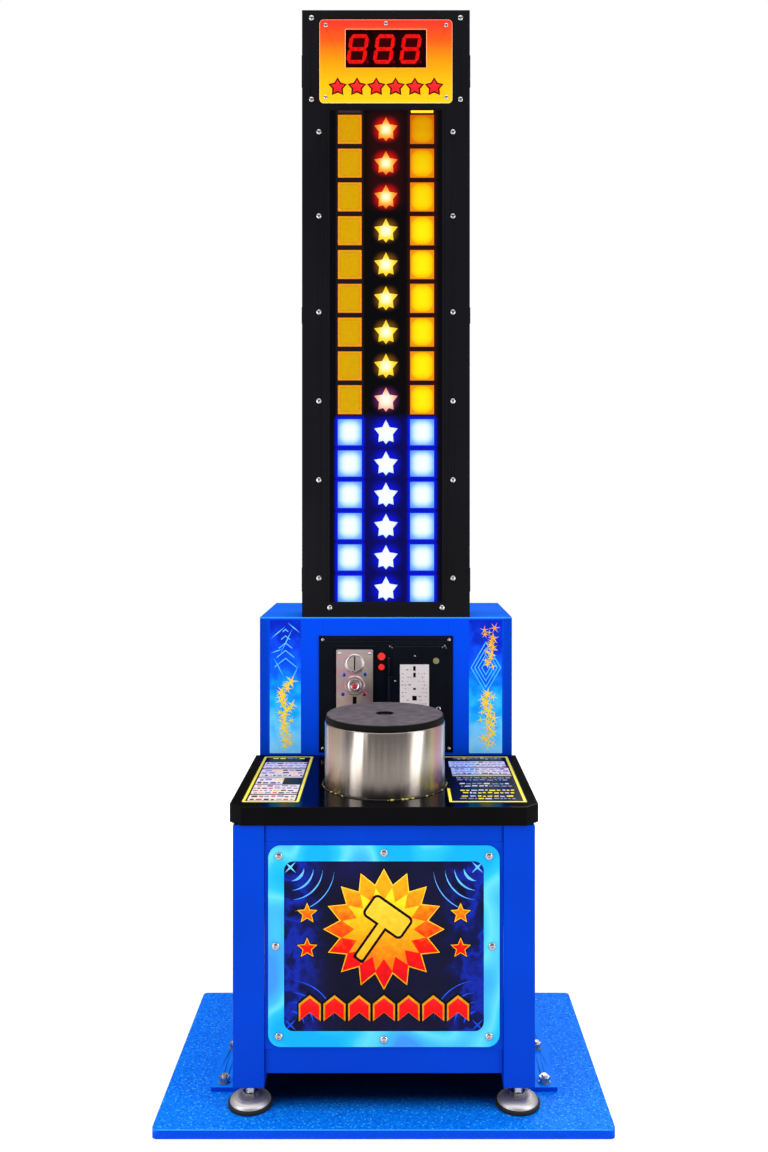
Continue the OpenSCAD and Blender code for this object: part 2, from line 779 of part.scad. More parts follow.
// Return spring: closed at both ends
spring_z = [flange_top_z + seat_gap + wire_d / 2, head_z - seat_gap - wire_d / 2];
closed_pitch = wire_d + 0.4;
ring_steps = 12;
wire_sides = 8;
function spring_height(turn) =
    let (last = spring_turns + 2, open = (spring_z[1] - spring_z[0] - 2 * closed_pitch) / spring_turns)
    turn < 1 ? spring_z[0] + turn * closed_pitch
    : turn > last - 1 ? spring_z[1] - (last - turn) * closed_pitch
    : spring_z[0] + closed_pitch + (turn - 1) * open;
function spring_ring(i) = [for (s = [0 : wire_sides - 1])
    let (turn = i / ring_steps, a = 360 * turn, b = 360 * s / wire_sides)
    let (r = spring_d / 2 + wire_d / 2 * cos(b))
    [r * cos(a), r * sin(a), spring_height(turn) + wire_d / 2 * sin(b)]];
module strike_spring() {
    last = (spring_turns + 2) * ring_steps;
    points = [for (i = [0 : last]) each spring_ring(i)];
    sides = [for (i = [0 : last - 1], s = [0 : wire_sides - 1])
        let (a = i * wire_sides + s, b = i * wire_sides + (s + 1) % wire_sides)
        [a, b, b + wire_sides, a + wire_sides]];
    first_ring = [for (s = [wire_sides - 1 : -1 : 0]) s];
    last_ring = [for (s = [0 : wire_sides - 1]) last * wire_sides + s];
    color("silver") translate([0, drum_y, 0]) polyhedron(points, concat(sides, [first_ring, last_ring]));
}

// Drum sleeve: the brushed steel skirt
module drum_sleeve() {
    color("lightgray") ring(drum_top_z - sleeve_l, sleeve_l, drum_d, drum_d - 2 * drum_wall);
}

// Drum head: the plate under the pad, with its boss and ribs
head_d = drum_d - 2 * drum_wall - 2 * seat_gap;
head_bolt_d = 16;
module drum_head() {
    rib_t = 6;
    rib_inner = spring_d / 2 + wire_d;
    color("gray") translate([0, drum_y, 0]) difference() {
        union() {
            translate([0, 0, head_z]) cylinder(h = head_t, d = head_d);
            translate([0, 0, boss_z]) cylinder(h = boss_h, d = boss_d);
            for (a = [0 : 60 : 300]) rotate(a) translate([rib_inner, -rib_t / 2, boss_z])
                cube([head_d / 2 - 2 - rib_inner, rib_t, boss_h + 1]);
        }
        translate([0, 0, boss_z - 1]) cylinder(h = boss_h + 1, d = shaft_d + 2 * running_gap);
        translate([0, 0, boss_z]) cylinder(h = boss_h + head_t + 1, d = head_bolt_d + 2 * seat_gap);
    }
}

// Rubber pad on top of the drum
module strike_pad() {
    inner = pad_hole_d / 2;
    outer = pad_d / 2;
    color([0.3, 0.28, 0.3]) translate([0, drum_y, drum_top_z]) rotate_extrude() {
        translate([inner, 0]) square([outer - inner, pad_h - pad_edge_r]);
        translate([inner, 0]) square([outer - pad_edge_r - inner, pad_h]);
        translate([outer - pad_edge_r, pad_h - pad_edge_r]) circle(pad_edge_r, $fn = 32);
    }
}

// Bolt that holds the head plate on the shaft
bolt_depth = 36;
module head_bolt() {
    flats = 24;
    washer_t = 2;
    color("dimgray") translate([0, drum_y, drum_top_z]) {
        cylinder(h = washer_t, d = pad_hole_d - 4);
        translate([0, 0, washer_t]) cylinder(h = pad_h - washer_t - 4, d = across_corners(flats), $fn = 6);
        translate([0, 0, -head_t - bolt_depth]) cylinder(h = head_t + bolt_depth, d = head_bolt_d);
    }
}

// Plunger shaft
module plunger_shaft() {
    r = shaft_d / 2;
    bore = head_bolt_d / 2 + running_gap;
    chamfer = 2;
    bore_z = head_z - bolt_depth - 4;
    color("silver") translate([0, drum_y, 0]) rotate_extrude()
        polygon([[0, shaft_z], [r - chamfer, shaft_z], [r, shaft_z + chamfer], [r, head_z - chamfer],
                 [r - chamfer, head_z], [bore, head_z], [bore, bore_z], [0, bore_z]]);
}

// Shaft collar: the stop under the guide, with the sensor's flag
module shaft_collar() {
    color("silver") {
        difference() {
            union() {
                ring(collar_z, collar_h, collar_d, shaft_d + 2 * running_gap);
                block([collar_d / 2 - 3, drum_y - flag_t / 2, flag_z - 4],
                      [collar_d / 2 + flag_reach, drum_y + flag_t / 2, flag_z + 4]);
            }
            translate([0, drum_y - collar_d / 2 - 1, flag_z]) rotate([-90, 0, 0])
                cylinder(h = (collar_d - shaft_d) / 2, d = 6);
        }
    }
}

// Cabinet shell: folded panels welded edge to edge
front_opening_z = table_z + 14;
module opening_strips(y, w, h, z, t) {
    x = base_w / 2 - sheet - weld_gap;
    top_z = cabinet_top_z - sheet - weld_gap;
    block([-x, y, shell_z], [-w / 2 - weld_gap, y + t, top_z]);
    block([w / 2 + weld_gap, y, shell_z], [x, y + t, top_z]);
    block([-w / 2, y, z + h], [w / 2, y + t, top_z]);
    block([-w / 2, y, shell_z], [w / 2, y + t, z]);
}
module cabinet_shell() {
    color("blue") {
        both_sides() block([base_w / 2 - sheet, cabinet_y, shell_z], [base_w / 2, rear_y, cabinet_top_z]);
        block([-base_w / 2 + sheet + weld_gap, cabinet_y, cabinet_top_z - sheet],
              [base_w / 2 - sheet - weld_gap, rear_y, cabinet_top_z]);
        block([-base_w / 2, cabinet_y, cabinet_floor_z], [base_w / 2, rear_y, table_z]);
        opening_strips(cabinet_y, front_opening_w, front_opening_h, front_opening_z, sheet);
        opening_strips(rear_wall_y, rear_opening_w, rear_opening_h, rear_opening_z, sheet);
    }
}

// Coin panel: black bevelled panel with the coin faceplate, two buttons and the service door
coin_panel_z = table_z + coin_panel_rise;
faceplate_margin = 5;
door_z = table_z + door_rise;
door_margin = 7;
mech_w = faceplate_w - 2 * faceplate_margin - 2;
mech_h = faceplate_h - 2 * faceplate_margin - 2;
coin_screw_inset = 9;
coin_screw_d = 7;
module coin_screw_places() {
    for (x = [-1, 1], z = [coin_screw_inset, coin_panel_h - coin_screw_inset])
        translate([x * (coin_panel_w / 2 - coin_screw_inset), 0, coin_panel_z + z]) children();
}
module coin_panel() {
    inner_step = coin_panel_step + 8;
    rib = 3;
    rib_gap = 4.5;
    color([0.03, 0.03, 0.04]) difference() {
        union() {
            for (level = [[0, 0.5], [coin_panel_step, 0.75], [inner_step, 1]])
                translate([0, 0, coin_panel_z + coin_panel_h / 2])
                    upright_plate(coin_panel_y + coin_panel_t * (1 - level[1]), coin_panel_t * level[1])
                        square([coin_panel_w, coin_panel_h] - 2 * level[0] * [1, 1], center = true);
            translate([-faceplate_x, 0, faceplate_z]) upright_plate(coin_panel_y - rib * 0.4, rib)
                difference() {
                    offset(rib_gap + rib) square([faceplate_w, faceplate_h], center = true);
                    offset(rib_gap) square([faceplate_w, faceplate_h], center = true);
                }
        }
        coin_screw_places() peg(0, coin_panel_y - 1, 0, coin_screw_d * 0.5, coin_panel_t + 2);
        block([-faceplate_x - mech_w / 2 - seat_gap, coin_panel_y - 1, faceplate_z - mech_h / 2 - seat_gap],
              [-faceplate_x + mech_w / 2 + seat_gap, cabinet_y + 1, faceplate_z + mech_h / 2 + seat_gap]);
        block([door_x + door_margin, coin_panel_y - 1, door_z + door_margin],
              [door_x + door_w - door_margin, cabinet_y + 1, door_z + door_h - door_margin]);
        peg(-button_x, coin_panel_y - 1, credit_button_z,
            credit_button_d * 0.7 + 2 * button_gap, coin_panel_t + 2);
        peg(-button_x, coin_panel_y - 1, credit_button_z - button_pitch,
            test_button_d * 0.7 + 2 * button_gap, coin_panel_t + 2);
    }
}

// Coin faceplate: cast plate with the coin slot, the return button's bezel and the return opening
slot_z = faceplate_z + boss_pitch;
return_button_z = faceplate_z;
return_z = faceplate_z - boss_ring_d / 2 - return_slot_h - 2;
module coin_faceplate() {
    w = faceplate_w;
    h = faceplate_h;
    color([0.75, 0.7, 0.7]) difference() {
        union() {
            translate([-faceplate_x, 0, faceplate_z]) {
                upright_plate(faceplate_y, faceplate_t) round_rect(w, h, 3);
                difference() {
                    upright_plate(faceplate_y - 1.5, faceplate_t) round_rect(w, h, 3);
                    upright_plate(faceplate_y - 2, faceplate_t) round_rect(w - 6, h - 6, 2);
                }
            }
            for (z = [slot_z, return_button_z])
                translate([-faceplate_x, faceplate_y + 1, z]) rotate([90, 0, 0])
                    cylinder(h = boss_ring_t + 1, d1 = boss_ring_d + 1, d2 = boss_ring_d - 6);
        }
        block([-faceplate_x - coin_slot_w / 2, faceplate_y - boss_ring_t - 1, slot_z - coin_slot_h / 2],
              [-faceplate_x + coin_slot_w / 2, coin_panel_y + 1, slot_z + coin_slot_h / 2]);
        block([-faceplate_x - return_slot_w / 2, faceplate_y - 1, return_z],
              [-faceplate_x + return_slot_w / 2, coin_panel_y + 1, return_z + return_slot_h]);
        peg(-faceplate_x, faceplate_y - boss_ring_t - 1, return_button_z,
            return_button_d + 2 * button_gap, faceplate_t + boss_ring_t + 2);
    }
}

// Coin mechanism behind the faceplate
button_gap = 0.3;
mech_wall = 4;
module coin_mech() {
    y = coin_panel_y + seat_gap;
    button_room = return_travel + 3;
    color([0.25, 0.25, 0.27]) difference() {
        block([-faceplate_x - mech_w / 2, y, faceplate_z - mech_h / 2],
              [-faceplate_x + mech_w / 2, y + coin_mech_depth, faceplate_z + mech_h / 2]);
        block([-faceplate_x - coin_slot_w / 2, y - 1, slot_z - coin_slot_h / 2],
              [-faceplate_x + coin_slot_w / 2, y + coin_mech_depth - mech_wall, slot_z + coin_slot_h / 2]);
        block([-faceplate_x - return_slot_w / 2, y - 1, return_z],
              [-faceplate_x + return_slot_w / 2, y + return_pocket, return_z + return_slot_h]);
        peg(-faceplate_x, y - 1, return_button_z, return_button_d + 2, 1 + button_room);
    }
}

// Push buttons: each is a cap on a stem that slides in its hole
module return_button() {
    proud = 3;
    color("silver") peg(-faceplate_x, faceplate_y - boss_ring_t - proud, return_button_z, return_button_d,
                        boss_ring_t + proud + faceplate_t + 2);
}
module push_button(z, cap_d) {
    proud = button_travel + 4;
    color("red") {
        peg(-button_x, coin_panel_y - proud, z, cap_d, proud - button_travel - seat_gap);
        peg(-button_x, coin_panel_y - proud, z, cap_d * 0.7, proud + coin_panel_t + sheet);
    }
}
module credit_button() {
    push_button(credit_button_z, credit_button_d);
}
module test_button() {
    push_button(credit_button_z - button_pitch, test_button_d);
}

// Service door with its knuckle, turning on the hinge at its left edge
hinge_x = door_x - knuckle_d / 2 - 1;
hinge_z = door_z + (door_h - hinge_l) / 2;
knuckle_share = 0.25;
knuckle_gap = 0.4;
lock_x = door_x + door_w - lock_inset;
lock_z = door_z + door_h - lock_drop;
module service_door() {
    knuckle_z = hinge_z + hinge_l * knuckle_share + knuckle_gap;
    knuckle_h = hinge_l * (1 - 2 * knuckle_share) - 2 * knuckle_gap;
    step = 6;
    middle = [door_x + door_w / 2, 0, door_z + door_h / 2];
    color([0.05, 0.05, 0.06]) difference() {
        union() {
            translate(middle) upright_plate(door_y + door_t / 2, door_t / 2)
                round_rect(door_w, door_h, door_r);
            translate(middle) upright_plate(door_y, door_t)
                round_rect(door_w - 2 * step, door_h - 2 * step, door_r - 3);
            block([hinge_x, door_y, knuckle_z],
                  [door_x + step + 1, door_y + door_t / 2 + 0.2, knuckle_z + knuckle_h]);
            translate([hinge_x, door_y, knuckle_z]) cylinder(h = knuckle_h, d = knuckle_d);
        }
        translate([hinge_x, door_y, knuckle_z - 1])
            cylinder(h = knuckle_h + 2, d = hinge_pin_d + 2 * running_gap);
        peg(lock_x, door_y - 1, lock_z, lock_d + 2 * running_gap, door_t + 2);
    }
}

// Fixed half of the service door's hinge, with the pin
module service_hinge() {
    tab_h = hinge_l * knuckle_share;
    color([0.1, 0.1, 0.11]) {
        translate([hinge_x, door_y, hinge_z]) cylinder(h = hinge_l, d = hinge_pin_d);
        for (z = [hinge_z, hinge_z + hinge_l - tab_h]) {
            translate([hinge_x, door_y, z]) cylinder(h = tab_h, d = knuckle_d);
            block([hinge_x - knuckle_d / 2, door_y, z], [hinge_x + 1, coin_panel_y, z + tab_h]);
        }
    }
}

// Information plate on the service door, with its punched openings
info_x = door_x + 21 + info_w / 2;
info_z = door_z + door_h - 46.5 - info_h / 2;
key_slot = 1.4;
module info_plate() {
    holes = [[0, 50, 5.6, 10.8], [0, 35, 5.6, 10.8], [0, 3.5, 6, 5], [0, -17.5, 10.2, 10.8]];
    color([0.78, 0.74, 0.76]) translate([info_x, 0, info_z])
        upright_plate(door_y - info_t, info_t) difference() {
            square([info_w, info_h], center = true);
            for (hole = holes) translate([hole[0], hole[1]]) square([hole[2], hole[3]], center = true);
        }
}

// Door lock: barrel and cam, shown unlocked with the cam pointing down
module door_lock() {
    cam_y = cabinet_y + 2 * seat_gap;
    color([0.75, 0.6, 0.3]) difference() {
        union() {
            peg(lock_x, door_y - 3, lock_z, lock_d + 2, 3 - seat_gap);
            peg(lock_x, door_y - 3, lock_z, lock_d, cam_y + cam_t - door_y + 3);
            block([lock_x - cam_w / 2, cam_y, lock_z - cam_l], [lock_x + cam_w / 2, cam_y + cam_t, lock_z]);
        }
        block([lock_x - key_slot / 2, door_y - 4, lock_z - lock_d / 4],
              [lock_x + key_slot / 2, door_y - 1, lock_z + lock_d / 4]);
    }
}

// Cash box on the cabinet's floor under the coin mechanism
cash_box_w = 110;
cash_box_l = 150;
cash_box_h = 74;
cash_box_wall = 2;
module cash_box() {
    low = [-faceplate_x - cash_box_w / 2, cabinet_y + sheet + 6, table_z + seat_gap];
    high = low + [cash_box_w, cash_box_l, cash_box_h];
    wall = cash_box_wall;
    floor_z = low[2] + wall + weld_gap;
    color("lightslategray") {
        block(low, [high[0], high[1], low[2] + wall]);
        for (x = [low[0], high[0] - wall])
            block([x, low[1], floor_z], [x + wall, high[1], high[2]]);
        for (y = [low[1], high[1] - wall])
            block([low[0] + wall + weld_gap, y, floor_z], [high[0] - wall - weld_gap, y + wall, high[2]]);
    }
}

// Rear door, its hinge and its lock
rear_door_x = [-rear_opening_w / 2 - door_overlap, rear_opening_w / 2 + door_overlap];
rear_door_z = [rear_opening_z - door_overlap, rear_opening_z + rear_opening_h + door_overlap];
rear_axis_x = rear_door_x[0] - rear_knuckle_d / 2 - 0.6;
rear_axis_y = rear_door_y + rear_door_t + 1.7;
rear_hinge_z = (rear_door_z[0] + rear_door_z[1] - rear_hinge_l) / 2;
rear_leaf_w = 18;
rear_lock_x = rear_door_x[1] - rear_lock_inset;
rear_lock_z = (rear_door_z[0] + rear_door_z[1]) / 2;
module rear_door() {
    knuckle_z = rear_hinge_z + rear_hinge_l * knuckle_share + knuckle_gap;
    knuckle_h = rear_hinge_l * (1 - 2 * knuckle_share) - 2 * knuckle_gap;
    color("blue") difference() {
        union() {
            block([rear_door_x[0], rear_door_y, rear_door_z[0]],
                  [rear_door_x[1], rear_door_y + rear_door_t, rear_door_z[1]]);
            block([rear_axis_x, rear_door_y + rear_door_t, knuckle_z],
                  [rear_door_x[0] + rear_leaf_w, rear_axis_y, knuckle_z + knuckle_h]);
            translate([rear_axis_x, rear_axis_y, knuckle_z]) cylinder(h = knuckle_h, d = rear_knuckle_d);
        }
        translate([rear_axis_x, rear_axis_y, knuckle_z - 1])
            cylinder(h = knuckle_h + 2, d = rear_pin_d + 2 * running_gap);
        peg(rear_lock_x, rear_door_y - 1, rear_lock_z, rear_lock_d + 2 * running_gap, rear_door_t + 2);
    }
}
module rear_hinge() {
    tab_h = rear_hinge_l * knuckle_share;
    leaf_x = rear_axis_x - rear_knuckle_d / 2 - 1;
    color("silver") {
        translate([rear_axis_x, rear_axis_y, rear_hinge_z]) cylinder(h = rear_hinge_l, d = rear_pin_d);
        block([leaf_x - rear_leaf_w, rear_wall_y + sheet, rear_hinge_z],
              [leaf_x, rear_axis_y, rear_hinge_z + rear_hinge_l]);
        for (z = [rear_hinge_z, rear_hinge_z + rear_hinge_l - tab_h]) {
            translate([rear_axis_x, rear_axis_y, z]) cylinder(h = tab_h, d = rear_knuckle_d);
            block([leaf_x - 1, rear_wall_y + sheet, z], [rear_axis_x, rear_axis_y, z + tab_h]);
        }
    }
}
module rear_lock() {
    cam_y = rear_wall_y - seat_gap - cam_t;
    face_y = rear_door_y + rear_door_t;
    color([0.7, 0.7, 0.72]) difference() {
        union() {
            peg(rear_lock_x, face_y + seat_gap, rear_lock_z, rear_lock_d + 3, 2.5);
            peg(rear_lock_x, cam_y, rear_lock_z, rear_lock_d, face_y + seat_gap + 2.5 - cam_y);
            block([rear_lock_x - cam_w / 2, cam_y, rear_lock_z - cam_l],
                  [rear_lock_x + cam_w / 2, cam_y + cam_t, rear_lock_z]);
        }
        block([rear_lock_x - key_slot / 2, face_y + 1, rear_lock_z - rear_lock_d / 4],
              [rear_lock_x + key_slot / 2, face_y + 5, rear_lock_z + rear_lock_d / 4]);
    }
}

// Power supply on the cabinet's floor
module power_supply() {
    low = [-base_w / 2 + sheet + 10, cabinet_y + supply_place, table_z + seat_gap];
    vents = 10;
    vent_pitch = supply_w / 14;
    vent_x = (supply_w - vents * vent_pitch) / 2;
    color("silver") difference() {
        block(low, low + [supply_w, supply_l, supply_h]);
        for (i = [0 : vents - 1])
            translate(low + [vent_x + i * vent_pitch, supply_l / 12, supply_h - 2])
                cube([vent_pitch / 2, supply_l / 2, 3]);
    }
}

// Control board on the cabinet's right wall
module control_board() {
    wall_x = base_w / 2 - sheet;
    y = cabinet_y + board_place;
    z = table_z + board_rise;
    stand = 8;
    size = [board_l, board_h];
    color("seagreen") {
        block([wall_x - stand - board_t, y, z], [wall_x - stand, y + size[0], z + size[1]]);
        for (p = [[8, 8], [size[0] - 8, 8], [8, size[1] - 8], [size[0] - 8, size[1] - 8]])
            translate([wall_x - stand - 0.5, y + p[0], z + p[1]]) rotate([0, 90, 0])
                cylinder(h = stand + 0.5 - seat_gap, d = 6);
        for (p = [[30, 30, 40, 24], [90, 60, 30, 30], [140, 20, 24, 60], [40, 110, 90, 12]])
            block([wall_x - stand - board_t - 6, y + p[0], z + p[1]],
                  [wall_x - stand - board_t + 0.5, y + p[0] + p[2], z + p[1] + p[3]]);
    }
}

// Mains inlet in the rear panel
inlet_pocket = 15;
module mains_inlet() {
    face_y = rear_y - front_setback;
    flange = 6;
    color([0.08, 0.08, 0.08]) difference() {
        union() {
            block([inlet_x - inlet_w / 2, face_y - 30, inlet_z - inlet_h / 2],
                  [inlet_x + inlet_w / 2, face_y + 1, inlet_z + inlet_h / 2]);
            block([inlet_x - inlet_w / 2 - flange, face_y + seat_gap, inlet_z - inlet_h / 2 - flange],
                  [inlet_x + inlet_w / 2 + flange, face_y + 3, inlet_z + inlet_h / 2 + flange]);
        }
        block([inlet_x - 12, face_y + 3 - inlet_pocket, inlet_z - 8.5],
              [inlet_x + 12, face_y + 4, inlet_z + 8.5]);
    }
}

// Tower shell: side sheets with pressed louvres, top and floor
tower_rear_y = cabinet_y + tower_depth;
louvres = [[972, 1027], [1588, 1625], [2131, 2204]];
louvre_pitch = 18;
module tower_shell() {
    side_y = cabinet_y + front_t + weld_gap;
    color([0.07, 0.07, 0.08]) {
        both_sides() {
            block([tower_w / 2 - sheet, side_y, tower_z + sheet + weld_gap],
                  [tower_w / 2, tower_rear_y, tower_top_z - sheet - weld_gap]);
            for (z = louvres, i = [0 : 3])
                translate([tower_w / 2 - 0.5, side_y + 16 + i * louvre_pitch, z[0]])
                    cylinder(h = z[1] - z[0], r = louvre_proud + 0.5, $fn = 24);
        }
        for (z = [tower_z, tower_top_z - sheet])
            block([-tower_w / 2, side_y, z], [tower_w / 2, tower_rear_y, z + sheet]);
    }
}
module tower_back() {
    gap = sheet + weld_gap;
    color([0.07, 0.07, 0.08])
        block([-tower_w / 2 + gap, tower_rear_y - sheet, tower_z + gap],
              [tower_w / 2 - gap, tower_rear_y, tower_top_z - gap]);
}

// Front frame round the light window
frame_screw_z = [1004, 1228, 1408, 1611, 1830, 2022];
foot_screw_x = 128;
frame_screw_low = 22;
module frame_screw_places() {
    for (x = [-1, 1]) {
        for (z = frame_screw_z) translate([x * frame_screw_x, 0, z]) children();
        translate([x * foot_screw_x, 0, tower_z + frame_screw_low]) children();
    }
}
module front_frame() {
    middle = (window_z + head_bottom_z) / 2;
    outer_w = window_w + 2 * window_step;
    color([0.05, 0.05, 0.06]) difference() {
        block([-tower_w / 2, cabinet_y, tower_z],
              [tower_w / 2, cabinet_y + front_t, head_bottom_z - weld_gap]);
        translate([0, 0, middle]) upright_plate(cabinet_y - 1, front_t + 2)
            square([window_w, head_bottom_z - window_z - 2 * window_step], center = true);
        translate([0, 0, middle]) upright_plate(cabinet_y - 1, 1 + front_t / 2)
            square([outer_w, head_bottom_z - window_z - window_step], center = true);
        frame_screw_places() peg(0, cabinet_y - 1, 0, tower_screw_d * 0.5, front_t + 2);
    }
}

// Places of the lights, and the star's points as [angle, share of its radius]
blue_z = [for (i = [0 : blue_rows - 1]) tower_z + blue_row_rise + i * blue_pitch];
amber_z = [for (i = [0 : amber_rows - 1]) blue_z[blue_rows - 1] + row_change + i * amber_pitch];
star_z = concat(blue_z, amber_z);
panel_y = cabinet_y + front_t;
star_side = [[54, 0.5], [18, 1], [-18, 0.58], [-52, 1], [-71, 0.7]];
star_turns = concat([[90, 1]], star_side, [[-90, 0.96]],
                    [for (i = [len(star_side) - 1 : -1 : 0]) [180 - star_side[i][0], star_side[i][1]]]);
function star(r) = [for (p = star_turns) r * p[1] * [cos(p[0]), sin(p[0])]];

// Light panel with its cut-outs
panel_half_w = tower_w / 2 - sheet - 1;
panel_low_z = window_z - 14;
panel_high_z = amber_z[amber_rows - 1] + amber_pitch / 2 + 8;
module light_panel() {
    h = panel_high_z - panel_low_z;
    color([0.02, 0.02, 0.03]) upright_plate(panel_y, light_panel_t) difference() {
        translate([-panel_half_w, panel_low_z]) square([2 * panel_half_w, h]);
        for (side = [-1, 1]) {
            for (z = blue_z) translate([side * column_pitch, z])
                square([light_w + 2 * lens_gap, blue_h + 2 * lens_gap], center = true);
            for (z = amber_z) translate([side * column_pitch, z])
                square([light_w + 2 * lens_gap, amber_h + 2 * lens_gap], center = true);
        }
        for (z = star_z) translate([0, z]) polygon(star(star_h / 2 + 2 * lens_gap));
    }
}

// Lenses: each fits a cut-out and has a flange behind the panel
module square_lens(side, z, h) {
    translate([side * column_pitch, 0, z]) {
        upright_plate(panel_y + lens_gap, light_panel_t + lens_flange_t)
            square([light_w, h], center = true);
        upright_plate(panel_y + light_panel_t + lens_gap, lens_flange_t)
            square([light_w + 2 * lens_flange, h + 2 * lens_flange], center = true);
    }
}
module amber_dim_lenses() {
    color([0.7, 0.5, 0.1]) for (z = amber_z) square_lens(-1, z, amber_h);
}
module amber_lit_lenses() {
    color([1, 0.75, 0.05]) for (z = amber_z) square_lens(1, z, amber_h);
}
module blue_lenses() {
    color([0.5, 0.7, 1]) for (side = [-1, 1], z = blue_z) square_lens(side, z, blue_h);
}
module star_lenses() {
    color([1, 0.9, 0.5]) for (z = star_z) translate([0, 0, z]) {
        upright_plate(panel_y + lens_gap, light_panel_t + lens_flange_t) polygon(star(star_h / 2));
        upright_plate(panel_y + light_panel_t + lens_gap, lens_flange_t)
            polygon(star(star_h / 2 + 2 * lens_flange));
    }
}

// LED boards on posts behind the columns
module led_boards() {
    low = panel_low_z + 2;
    high = panel_high_z - 2;
    back_y = panel_y + light_panel_t;
    post_d = 4;
    post_z = [low + 4, (blue_z[blue_rows - 1] + blue_h / 2 + amber_z[0] - amber_h / 2) / 2, high - 4];
    led_size = [5, 1.5, 5];
    color("white") for (column = [-1, 0, 1]) {
        x = column * column_pitch;
        block([x - led_board_w / 2, back_y + led_distance, low],
              [x + led_board_w / 2, back_y + led_distance + board_t, high]);
        for (z = post_z) peg(x, back_y + seat_gap, z, post_d, led_distance);
        for (z = star_z) translate([x - led_size[0] / 2, back_y + led_distance - led_size[1], z])
            cube(led_size + [0, 0.5, 0]);
    }
}

// Head plate, marquee and score display
display_z = marquee_z + display_lift;
marquee_screws = [for (x = [-1, 1], z = [-1, 1]) [x * (marquee_w / 2 - 14), z * (marquee_h / 2 - 13)],
                  [0, marquee_h / 2 - 9]];
head_screws = [for (x = [-1, 1], z = [16, head_h - 18]) [x * head_screw_x, head_bottom_z + z]];
module head_plate() {
    color([0.05, 0.05, 0.06]) difference() {
        block([-tower_w / 2, cabinet_y, head_bottom_z], [tower_w / 2, cabinet_y + front_t, tower_top_z]);
        translate([0, 0, display_z]) upright_plate(cabinet_y - 1, front_t + 2)
            square([display_w + 2 * seat_gap, display_h + 2 * seat_gap], center = true);
        for (p = head_screws) peg(p[0], cabinet_y - 1, p[1], tower_screw_d * 0.5, front_t + 2);
    }
}
module marquee_panel() {
    rim = 4;
    color("orangered") difference() {
        union() {
            translate([0, 0, marquee_z]) upright_plate(cabinet_y - marquee_t, marquee_t)
                round_rect(marquee_w, marquee_h, marquee_r);
            translate([0, 0, display_z]) upright_plate(cabinet_y - marquee_t - 1, marquee_t)
                round_rect(display_w + rim, display_h + rim, 4);
        }
        translate([0, 0, display_z]) upright_plate(cabinet_y - marquee_t - 2, marquee_t + 3)
            square([display_w - rim, display_h - rim], center = true);
        for (p = marquee_screws)
            peg(p[0], cabinet_y - marquee_t - 1, marquee_z + p[1], tower_screw_d * 0.4, marquee_t + 2);
    }
}
module display_module() {
    color([0.1, 0, 0]) {
        block([-display_w / 2, cabinet_y + seat_gap, display_z - display_h / 2],
              [display_w / 2, cabinet_y + display_depth, display_z + display_h / 2]);
    }
}

// Seven-segment digits with their decimal points
digit_t = 1;
module digit() {
    w = digit_w;
    h = digit_h;
    s = segment_w;
    gap = 1.2;
    bar = [[-w / 2 + gap, 0], [-w / 2 + s / 2 + gap, s / 2], [w / 2 - s / 2 - gap, s / 2], [w / 2 - gap, 0],
           [w / 2 - s / 2 - gap, -s / 2], [-w / 2 + s / 2 + gap, -s / 2]];
    reach = h / 2 - s / 2;
    post = [[0, gap], [s / 2, s / 2 + gap], [s / 2, reach - s / 2 - gap], [0, reach - gap],
            [-s / 2, reach - s / 2 - gap], [-s / 2, s / 2 + gap]];
    function leaning(points, x, y) =
        [for (p = points) [p[0] + x + (p[1] + y) * tan(digit_slant), p[1] + y]];
    for (y = [-reach, 0, reach]) polygon(leaning(bar, 0, y));
    for (x = [-w / 2 + s / 4, w / 2 - s / 4], y = [-reach, 0]) polygon(leaning(post, x, y));
    translate([w / 2 + 6 - reach * tan(digit_slant), -reach]) circle(d = s * 0.8, $fn = 16);
}
module digit_segments() {
    color("red") for (i = [-1 : 1]) translate([i * digit_pitch - 4, 0, display_z])
        upright_plate(cabinet_y + seat_gap - digit_t, digit_t) digit();
}

// Button-head screws on the panels
module button_head(head, shank, shank_l) {
    r = head / 2;
    h = head * 0.28;
    s = shank / 2;
    dome = [for (a = [0 : 18 : 90]) [r * cos(a), h * 0.2 + h * 0.8 * sin(a)]];
    rotate([90, 0, 0]) difference() {
        rotate_extrude($fn = 32) polygon(concat([[0, -shank_l], [s, -shank_l], [s, 0], [r, 0]], dome));
        translate([0, 0, h / 2]) cylinder(h = h, d = head * 0.36, $fn = 6);
    }
}
module button_head_screws() {
    color("gainsboro") {
        art_screw_places() translate([0, art_y, 0])
            button_head(art_screw_d, art_screw_d * 0.4, art_t + panel_t);
        frame_screw_places() translate([0, cabinet_y, 0])
            button_head(tower_screw_d, tower_screw_d * 0.4, front_t);
        for (p = head_screws) translate([p[0], cabinet_y, p[1]])
            button_head(tower_screw_d, tower_screw_d * 0.4, front_t);
        for (p = marquee_screws) translate([p[0], cabinet_y - marquee_t, marquee_z + p[1]])
            button_head(tower_screw_d * 0.8, tower_screw_d * 0.3, marquee_t);
        coin_screw_places() translate([0, coin_panel_y + coin_panel_t / 4, 0])
            button_head(coin_screw_d, coin_screw_d * 0.4, coin_panel_t * 0.75);
    }
}

